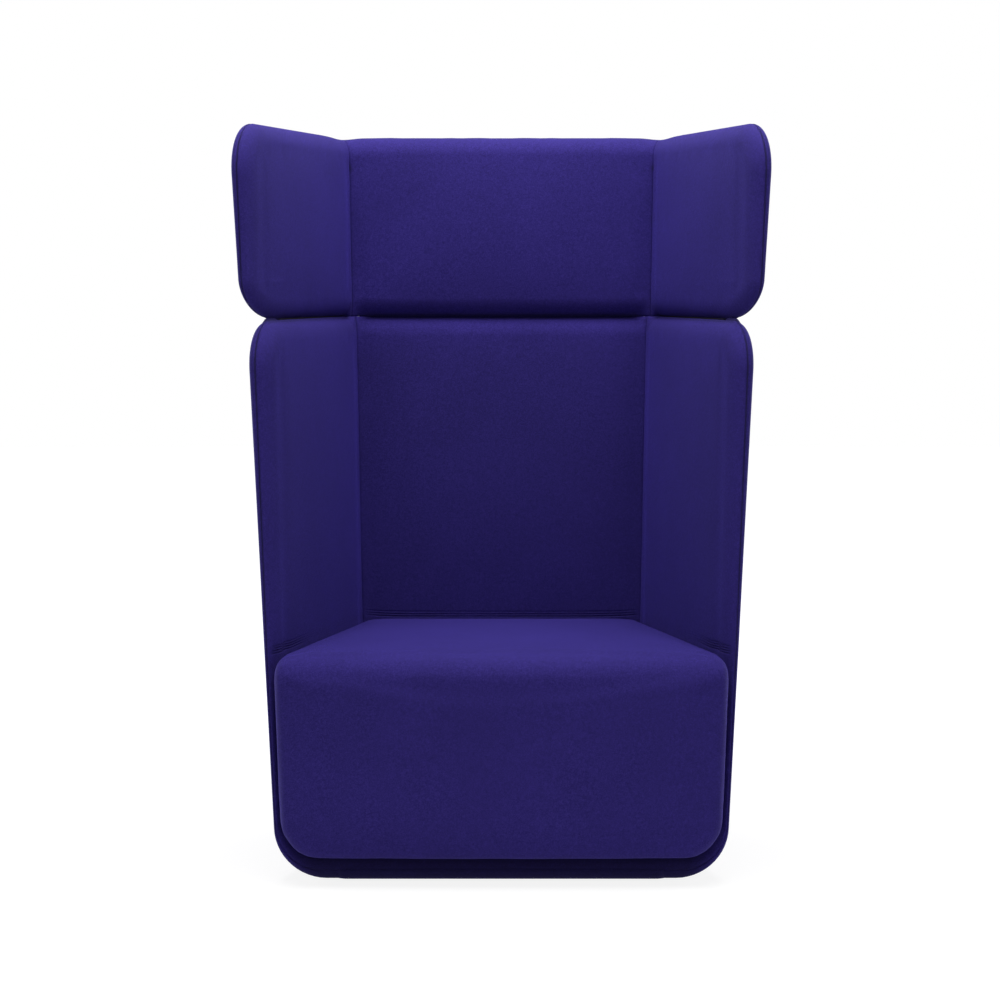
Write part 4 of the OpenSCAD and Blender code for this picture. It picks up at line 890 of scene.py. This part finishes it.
# front band of the base: from the tucked height on one wall, round the lower bend and across to the other
def bandPanel():
    rim = chair["rimInner"]
    e = np.concatenate([rimPlaces(rim, grid["bandRim"]), np.linspace(rim, *grid["band"])[1:]])
    z = np.concatenate([[tuckHeight, tuckHeight - endRow],
                        np.linspace(tuckHeight, bendTop, grid["bandWall"])[1:]])
    eAll, zAll = np.broadcast_arrays(e[None, :], z[:, None])
    y = wallFront + eAll
    near, far = innerHalf(False, y, zAll), outerHalf(False, y, zAll)
    wall = np.stack([-mix(near, far, across(False, eAll)), y, zAll], -1)
    eAll, angles = np.broadcast_arrays(e[None, :], np.linspace(0, 90, grid["bandBend"])[1:, None])
    r = chair["sideBend"] - bendIn(False, eAll, angles)
    y = wallFront + eAll
    bend = np.stack([chair["sideBend"] - r * np.cos(np.radians(angles)) - outerHalf(False, y, bendTop), y,
                     bendTop - r * np.sin(np.radians(angles))], -1)
    t = np.linspace(0, 1, grid["bandFlat"])[1:, None, None]
    flat = bend[-1][None] * np.concatenate([1 - t, 0 * t + 1, 0 * t + 1], -1)
    half = np.concatenate([wall, bend, flat])
    points = np.concatenate([half, (half * np.array([-1, 1, 1]))[-2::-1]])
    u, v = gridLengths(points)
    fromEnd = v.max() - v
    lines = softStep(0, foot["stretchIn"], u) * softStep(*foot["stretchRun"], v)
    lines = lines * softStep(*foot["stretchRun"], fromEnd)
    long, short = foot["stretchLong"]
    stretch = foot["stretch"] * noise(v / long, u / short, 61) * lines
    walls = np.maximum(1 - softStep(*foot["sewnRun"], v), 1 - softStep(*foot["sewnRun"], fromEnd))
    points = raised(points, stretch + rimGroove(u, 0) * walls, True)
    replaced = ["base_front_cover", "base_front_padding"]
    return upholster("baseBand", points, True, replaced, baseShade(points))


# strip of cloth under the base's front rail, between the two lower bends
def lowerPanel():
    e = np.concatenate([rimPlaces(chair["rimOuter"], grid["underRim"]), [chair["bendFlat"]]])
    bend = chair["sideBend"] + chair["bendFlat"]
    half = chair["frontHalf"] + slope(chair["lean"]) * bendTop - bend + foot["longer"]
    xAll, eAll = np.broadcast_arrays(np.linspace(-half, half, grid["under"])[:, None], e[None, :])
    lift = foot["lift"] * softStep(half - foot["liftRun"], half, np.abs(xAll))
    points = np.stack([xAll, wallFront + eAll + lift, chair["groundGap"] + bendIn(True, eAll, 90) + lift], -1)
    piece = upholster("baseUnderside", points, True, ["base_lower_cover"], baseShade(points))
    return piece


bandPanel()
lowerPanel()
print("base upholstered")

# Seat block: sizes in millimetres, voxel in metres, grow, spread and crownShare as shares; the rows and lines
# are counts
seat = {
    "softKink": 20, "inset": 1.5, "voxel": 0.0088, "grow": 0.0015, "pressure": 3.0, "limit": 3.0, "fill": 0.9,
    "uneven": 0.5, "unevenLong": (45, 60, 45), "wave": 1.1, "waveLong": (70, 60), "crumple": 0.5,
    "crumpleLong": (34, 20, 11), "lowPlace": 34, "lowWide": 34, "lowRun": (60, 10),
    "hang": 4, "hangWide": 40, "hangRun": (-16, 4), "spread": 0.0115, "spreadRun": (-26, -2), "middle": 240,
    "heldRun": (-12, 22), "heldTop": (-14, -2), "heldLow": (8, 60), "heldFront": (2, 22), "heldSide": (6, 34),
    "heldBack": (-34, -8), "crownShare": 0.75,
    "edgeRows": 16, "faceRows": 26, "crownRows": 40, "underRows": 30,
    "cornerLines": 12, "frontLines": 90, "sideLines": 70, "backLines": 60,
}


# inner half width of the shell less the gap; in front of the walls it runs on level, past a softened kink
def seatHalf(y, z):
    k = seat["softKink"]
    y = wallFront + 0.5 * ((y - wallFront) + np.sqrt((y - wallFront) ** 2 + k * k))
    return innerHalf(False, y, np.minimum(z, chair["seatTop"])) - chair["seatGap"]


# rounded corner: a parabola from a point on one side to a point on the other, over places t
def cornerCurve(a, b, c, r, t):
    p = b + (a - b) / np.linalg.norm(a - b, axis=-1, keepdims=True) * r[..., None]
    q = b + (c - b) / np.linalg.norm(c - b, axis=-1, keepdims=True) * r[..., None]
    t = t[:, None, None]
    return (1 - t) ** 2 * p + 2 * t * (1 - t) * b + t * t * q


# the block's surface: rings round its outline, from the middle of the underside out to the lower edge and up
# over the rounded edges to the crown, whose height follows a sine
def seatPoints():
    low, q, qs, top = [chair[key] for key in ("seatLowCorner", "seatEdge", "seatSideEdge", "seatTop")]
    a = np.linspace(0, np.pi / 2, seat["edgeRows"])
    z1 = chair["seatBottom"] + low * (1 - np.cos(a))
    side1 = low * (1 - np.sin(a))
    front1 = filletDrop(q, chair["seatBottom"] + q - z1) / 2
    z2 = np.linspace(z1[-1], top - q, seat["faceRows"])[1:-1]
    e = q * (1 - np.cos(a))
    z3 = top - q * (1 - np.sin(a))
    t = np.linspace(0, 1, seat["crownRows"])[1:]
    z4 = top + chair["seatCrown"] * np.sin(np.pi / 2 * np.clip(t / seat["crownShare"], 0, 1))
    z = np.concatenate([z1, z2, z3, z4])
    zero = 0 * z2
    side = np.concatenate([side1, zero, e * qs / q, qs + 0 * z4])
    front = np.concatenate([front1, zero, e, q + 0 * z4])
    back = np.concatenate([0 * z1, zero, e / 2, q / 2 + 0 * z4])
    shrink = np.concatenate([0 * z1, zero, 0 * e, t])
    yf = seatFront + front
    yb = backFace(np.minimum(z, top)) - chair["seatGap"] - back
    rf = np.maximum(q - side / 2, q / 4)
    bulge = chair["frontCrown"] * np.clip(1 - front / q / 2, 0, 1)

    def corner(sign, y):
        return np.stack([sign * (seatHalf(y, z) - side), y], -1)

    fl, fr, br, bl = corner(-1, yf), corner(1, yf), corner(1, yb), corner(-1, yb)
    c = np.linspace(0, 1, seat["cornerLines"])
    frontRight = cornerCurve(fl, fr, fr + [0, 1], rf, c)
    backRight = cornerCurve(fr, br, bl, rf / 2, c)
    backLeft = cornerCurve(br, bl, fl, rf / 2, c)
    frontLeft = cornerCurve(fl + [0, 1], fl, fr, rf, c)

    def line(a, b, count):
        t = np.linspace(0, 1, count)[1:-1, None, None]
        return mix(a[None], b[None], t)

    def sideLine(a, b, sign):
        y = line(a, b, seat["sideLines"])[..., 1]
        return np.stack([sign * (seatHalf(y, z[None]) - side[None]), y], -1)

    f = line(frontLeft[-1], frontRight[0], seat["frontLines"])
    f[..., 1] -= bulge[None] * np.sin(np.linspace(0, np.pi, seat["frontLines"])[1:-1])[:, None]
    loop = np.concatenate([frontLeft, f, frontRight, sideLine(frontRight[-1], backRight[0], 1), backRight,
                           line(backRight[-1], backLeft[0], seat["backLines"]), backLeft,
                           sideLine(backLeft[-1], frontLeft[0], -1)])
    loop = np.swapaxes(loop, 0, 1)
    centre = (seatFront + seatBack) / 2
    middle = np.stack([np.clip(loop[..., 0], -seat["middle"], seat["middle"]), 0 * loop[..., 1] + centre], -1)
    loop = mix(loop, middle, shrink[:, None, None])
    rings = np.concatenate([loop, z[:, None, None] + 0 * loop[..., :1]], -1)
    core = np.concatenate([middle[:1], rings[:1, :, 2:]], -1)
    under = mix(core, rings[:1], np.linspace(0, 1, seat["underRows"])[:-1, None, None])
    return np.concatenate([under, rings])


# how far a point may give way: not at all below and behind, fully on the top and the proud front
def seatHeld(p):
    inside = softStep(*seat["heldRun"], p[:, 1] - wallFront)
    buried = inside * (1 - softStep(*seat["heldTop"], p[:, 2] - chair["seatTop"]))
    low = 1 - softStep(*seat["heldLow"], p[:, 2] - chair["seatBottom"])
    inward = seatHalf(p[:, 1], p[:, 2]) - np.abs(p[:, 0])
    rim = mix(1 - softStep(*seat["heldFront"], inward), 1 - softStep(*seat["heldSide"], inward), inside)
    back = softStep(*seat["heldBack"], p[:, 1] - seatBack)
    return np.maximum(np.maximum(buried, low), np.maximum(rim, back))


def writePoints(mesh, p):
    mesh.vertices.foreach_set("co", (p.reshape(-1) * 0.001).astype(np.float32))
    mesh.update()


# the block remeshed evenly, its proud front a little wider and lower, settled, and waved along its lower edge
def seatPiece():
    piece = gridObject("seatBlock", seatPoints(), True, closed=True)
    remesh = piece.modifiers.new("remesh", "REMESH")
    remesh.mode, remesh.voxel_size, remesh.use_smooth_shade = "VOXEL", seat["voxel"], True
    mesh = bpy.data.meshes.new_from_object(piece.evaluated_get(bpy.context.evaluated_depsgraph_get()))
    piece.modifiers.remove(remesh)
    piece.data, mesh.name = mesh, "seatBlock"
    p = meshPoints(mesh) * 1000
    proud = p[:, 1] - wallFront
    p[:, 0] *= 1 + seat["spread"] * (1 - softStep(*seat["spreadRun"], proud))
    hanging = bell(p[:, 2], chair["seatBottom"], seat["hangWide"])
    p[:, 2] -= seat["hang"] * (1 - softStep(*seat["hangRun"], proud)) * hanging
    writePoints(mesh, p)
    held = seatHeld(p)
    n = meshPoints(mesh, "normal")
    p = p - n * (seat["inset"] * (1 - held))[:, None]
    a, b, c = seat["unevenLong"]
    p = p + n * ((1 - held) * seat["uneven"] * noise(p[:, 0] / a + p[:, 1] / b, p[:, 2] / c, 71))[:, None]
    writePoints(mesh, p)
    p = p + settledMoves(piece, held, seat["grow"], seat["pressure"], seat["limit"] * 0.001) * 1000
    writePoints(mesh, p)
    n = meshPoints(mesh, "normal")
    low = bell(p[:, 2], chair["seatBottom"] + seat["lowPlace"], seat["lowWide"])
    low = low * softStep(*seat["lowRun"], p[:, 1] - seatFront)
    a, b = seat["waveLong"]
    h = seat["wave"] * low * noise(p[:, 0] / a, p[:, 2] / b, 72)
    a, b, c = seat["crumpleLong"]
    h = h + seat["crumple"] * low * noise(p[:, 0] / a + p[:, 2] / b, p[:, 2] / c, 73)
    writePoints(mesh, p + n * h[:, None])
    mesh.polygons.foreach_set("use_smooth", np.ones(len(mesh.polygons), bool))
    fine = piece.modifiers.new("fine", "SUBSURF")
    fine.levels = fine.render_levels = 1
    return declare(piece, ["seat_cover", "seat_foam", "seat_front_foam"])


seatPiece()
print("seat upholstered")

# Looks of the hard parts by slot, which keep the part's own shapes; a noise is its stretch, scale and detail
even = (1.0, 1.0, 1.0)
hard = {
    "plywood": {
        "name": "birchPlywood", "tones": ((0.3, srgb(178, 138, 92)), (0.65, srgb(214, 182, 136))),
        "bump": (0.2, 0.0004), "grain": ((14.0, 14.0, 0.8), 9.0, 3.0), "fine": ((60.0, 60.0, 3.0), 12.0, 3.0),
        "ply": 0.0014},
    "timber": {
        "name": "planedSoftwood", "tones": ((0.25, srgb(188, 148, 98)), (0.75, srgb(220, 188, 140))),
        "bump": (0.25, 0.0004), "wander": (even, 4.0, 3.0), "pores": ((40.0, 40.0, 4.0), 10.0, 3.0),
        "rings": 565.2},
    "foam": {
        "name": "cutFoam", "tones": ((0.2, srgb(214, 198, 146)), (0.8, srgb(238, 226, 178))),
        "bump": (0.5, 0.0006), "slow": (even, 22.0, 3.0), "cell": 900},
    "dust_cloth": {
        "name": "blackNonWoven", "tones": ((0.2, srgb(8, 7, 14)), (0.8, srgb(20, 18, 32))),
        "bump": (0.5, 0.0006), "fibres": (even, 620.0, 3.0), "pitch": 0.0022, "woven": 0.1},
    "webbing": {
        "name": "elasticWebbing", "tones": ((0.2, srgb(22, 22, 24)), (0.8, srgb(62, 60, 60))),
        "bump": (0.5, 0.0006), "fibres": (even, 620.0, 3.0), "pitch": 0.0031, "woven": 0.7},
    "zinc_steel": {
        "name": "zincPlatedSteel", "tones": ((0.3, srgb(158, 162, 168)), (0.7, srgb(206, 208, 212))),
        "bump": (0.12, 0.0002), "brushed": ((1.0, 1.0, 0.08), 700, 1.0), "spots": (even, 160.0, 3.0)},
    "black_plastic": {
        "name": "blackMouldedPlastic", "tones": ((0.35, srgb(26, 26, 28)), (0.7, srgb(40, 40, 42))),
        "bump": (0.3, 0.0002), "grain": (even, 1400, 2.0), "scuffs": ((1.0, 1.0, 3.0), 60.0, 3.0)},
}


def stretched(tree, pattern):
    scale, size, detail = pattern
    drawn = addNode(tree, "ShaderNodeMapping", {}, {"Vector": objectPlace(tree), "Scale": scale})
    return noiseNode(tree, drawn, size, detail)


# Each recipe gives a tone, a height, a roughness and what else the shader needs

# face veneer: long grain, with the thin plies as stripes through the thickness
def plywood(tree, look):
    grain, fine = stretched(tree, look["grain"]), stretched(tree, look["fine"])
    x, y = parts(tree, objectPlace(tree))[:2]
    plies = sine(tree, (x + y) * (2 * math.pi / look["ply"]))
    return grain * 0.6 + fine * 0.35 + plies * 0.04, fine, 0.5 + grain * 0.25, {}


# sawn softwood: wandering rings and long pores
def timber(tree, look):
    wander, pores = stretched(tree, look["wander"]), stretched(tree, look["pores"])
    y, z = parts(tree, objectPlace(tree))[1:]
    rings = sine(tree, (y + z * 0.4) * look["rings"] + wander * 9)
    return rings * 0.16 + pores * 0.5 + 0.25, pores, 0.55 + pores * 0.2, {}


# open cells with slow patches of tone
def foam(tree, look):
    cells = addNode(tree, "ShaderNodeTexVoronoi", {}, {"Vector": objectPlace(tree), "Scale": look["cell"]})
    return cells * 0.5 + stretched(tree, look["slow"]) * 0.6, cells, 0.95, {}


# felted strip and underside, or woven straps
def cloths(tree, look):
    height = weaveHeight(tree, look["pitch"]) * look["woven"] + stretched(tree, look["fibres"])
    return height * 0.7 + 0.1, height, 0.93, {"Specular IOR Level": 0.08, "Sheen Weight": 0.02}


# brushed along one direction, with faint spots
def zinc(tree, look):
    brushed, spots = stretched(tree, look["brushed"]), stretched(tree, look["spots"])
    return spots, brushed, 0.26 + brushed * 0.2 + spots * 0.08, {"Metallic": 1.0}


# fine moulded grain with long scuffs
def plastic(tree, look):
    grain, scuffs = stretched(tree, look["grain"]), stretched(tree, look["scuffs"])
    return scuffs, grain, 0.42 + scuffs * 0.25, {}


finishes = {"violet_fabric": violetFabric}
for slot, recipe in zip(hard, (plywood, timber, foam, cloths, cloths, zinc, plastic)):
    look = hard[slot]
    finishes[slot], tree = newMaterial(look["name"])
    tone, height, roughness, extra = recipe(tree, look)
    finishMaterial(tree, {"Base Color": ramp(tree, tone, look["tones"]), "Roughness": roughness,
                          "Normal": bumpNode(tree, height, *look["bump"]), **extra})
for row in frame["record"]["subparts"]:
    solid = nodes[row["node"]]
    solid.data.materials.clear()
    solid.data.materials.append(finishes[row["material_slot"]])
print("hard parts finished")

# Floor and studio in metres; a lamp is its place, the point it is turned to, its power in watts and its width
stage = {
    "floor": 12.0, "floorNear": 1.2, "floorFar": 1.45, "floorRun": (0.7, 1.9), "floorMix": 0.72,
    "floorGrey": 0.72, "ambient": 0.2,
    "lamps": {
        "frontAbove": ((0, -0.62, 3.4), (0, -0.1, 0.6), 88, 2.4),
        "above": ((0, 0.15, 3.2), (0, 0.1, 0.6), 30, 2.0),
        "besideLeft": ((-2.6, -2.4, 1.3), (-0.3, -0.2, 0.6), 6, 1.6),
        "besideRight": ((2.6, -2.4, 1.3), (0.3, -0.2, 0.6), 6, 1.6),
        "behindLeft": ((-3.0, 2.0, 1.1), (0, 0.1, 0.7), 45, 1.8),
        "behindRight": ((3.0, 2.0, 1.1), (0, 0.1, 0.7), 45, 1.8),
    },
}


# 1 where the camera, a mirror or a clear part sees a surface, 0 where only scattered light does
def seenStraight(tree):
    path = addNode(tree, "ShaderNodeLightPath", output="Is Camera Ray")
    glossy, through = [Wire(tree, path.socket.node.outputs["Is %s Ray" % kind])
                       for kind in ("Glossy", "Transmission")]
    return addNode(tree, "ShaderNodeClamp", {}, {"Value": path + glossy + through})


# pale floor that grows white with the distance, so that it ends nowhere
def floorMaterial():
    material, tree = newMaterial("paleFloor")
    away = addNode(tree, "ShaderNodeVectorMath", {"operation": "LENGTH"}, {0: objectPlace(tree)},
                   output="Value")
    start, end = stage["floorRun"]
    far = addNode(tree, "ShaderNodeMapRange", {"interpolation_type": "SMOOTHSTEP"},
                  {"Value": away, "From Min": start, "From Max": end, "To Min": 0.0, "To Max": 1.0})
    grey = stage["floorGrey"]
    shade = addNode(tree, "ShaderNodeBsdfDiffuse", {}, {"Color": (grey, grey, grey, 1)})
    level = far * (stage["floorFar"] - stage["floorNear"]) + stage["floorNear"]
    white = addNode(tree, "ShaderNodeCombineColor", {}, {"Red": level, "Green": level, "Blue": level})
    plain = addNode(tree, "ShaderNodeEmission", {}, {"Color": white, "Strength": 1.0})
    mixed = addNode(tree, "ShaderNodeMixShader", {},
                    {0: seenStraight(tree) * stage["floorMix"], 1: shade, 2: plain})
    addNode(tree, "ShaderNodeOutputMaterial", {}, {"Surface": mixed})
    return material


def lamp(name, place, target, power, width):
    light = bpy.data.lights.new(name, "AREA")
    light.energy, light.size, light.shape = power, width, "SQUARE"
    piece = bpy.data.objects.new(name, light)
    scene.collection.objects.link(piece)
    piece.location = place
    x, y, z = np.array(target) - np.array(place)
    piece.rotation_euler = (math.atan2(math.hypot(x, y), -z), 0, math.atan2(y, x) - math.pi / 2)


def studio():
    size = stage["floor"] * 1000
    x, y = np.meshgrid([-size, size], [-size, size])
    floor = gridObject("floor", np.stack([x, y, 0.0 * x], -1).astype(float))
    floor.data.materials.append(floorMaterial())
    world = bpy.data.worlds.new("studio")
    scene.world = world
    world.use_nodes = True
    tree = world.node_tree
    tree.nodes.clear()
    soft, white = [addNode(tree, "ShaderNodeBackground", {}, {"Color": (1, 1, 1, 1), "Strength": strength})
                   for strength in (stage["ambient"], 1.0)]
    mixed = addNode(tree, "ShaderNodeMixShader", {}, {0: seenStraight(tree), 1: soft, 2: white})
    addNode(tree, "ShaderNodeOutputWorld", {}, {"Surface": mixed})
    for name, settings in stage["lamps"].items():
        lamp(name, *settings)


# The photograph's view: metres, degrees, and the lens and sensor in millimetres
view = {"distance": 5.083, "height": 1.123, "pitch": 4.905, "lens": 94.63, "sensor": 36, "shift": -0.0014}


def camera():
    data = bpy.data.cameras.new("photoView")
    data.lens, data.sensor_width, data.sensor_fit = view["lens"], view["sensor"], "HORIZONTAL"
    data.clip_end, data.shift_x = 100, view["shift"]
    eye = bpy.data.objects.new("photoView", data)
    scene.collection.objects.link(eye)
    eye.location = (0, -view["distance"], view["height"])
    eye.rotation_euler = (math.radians(90 - view["pitch"]), 0, 0)
    scene.camera = eye


studio()
camera()
scene.view_settings.view_transform = "Standard"
print("stage ready")
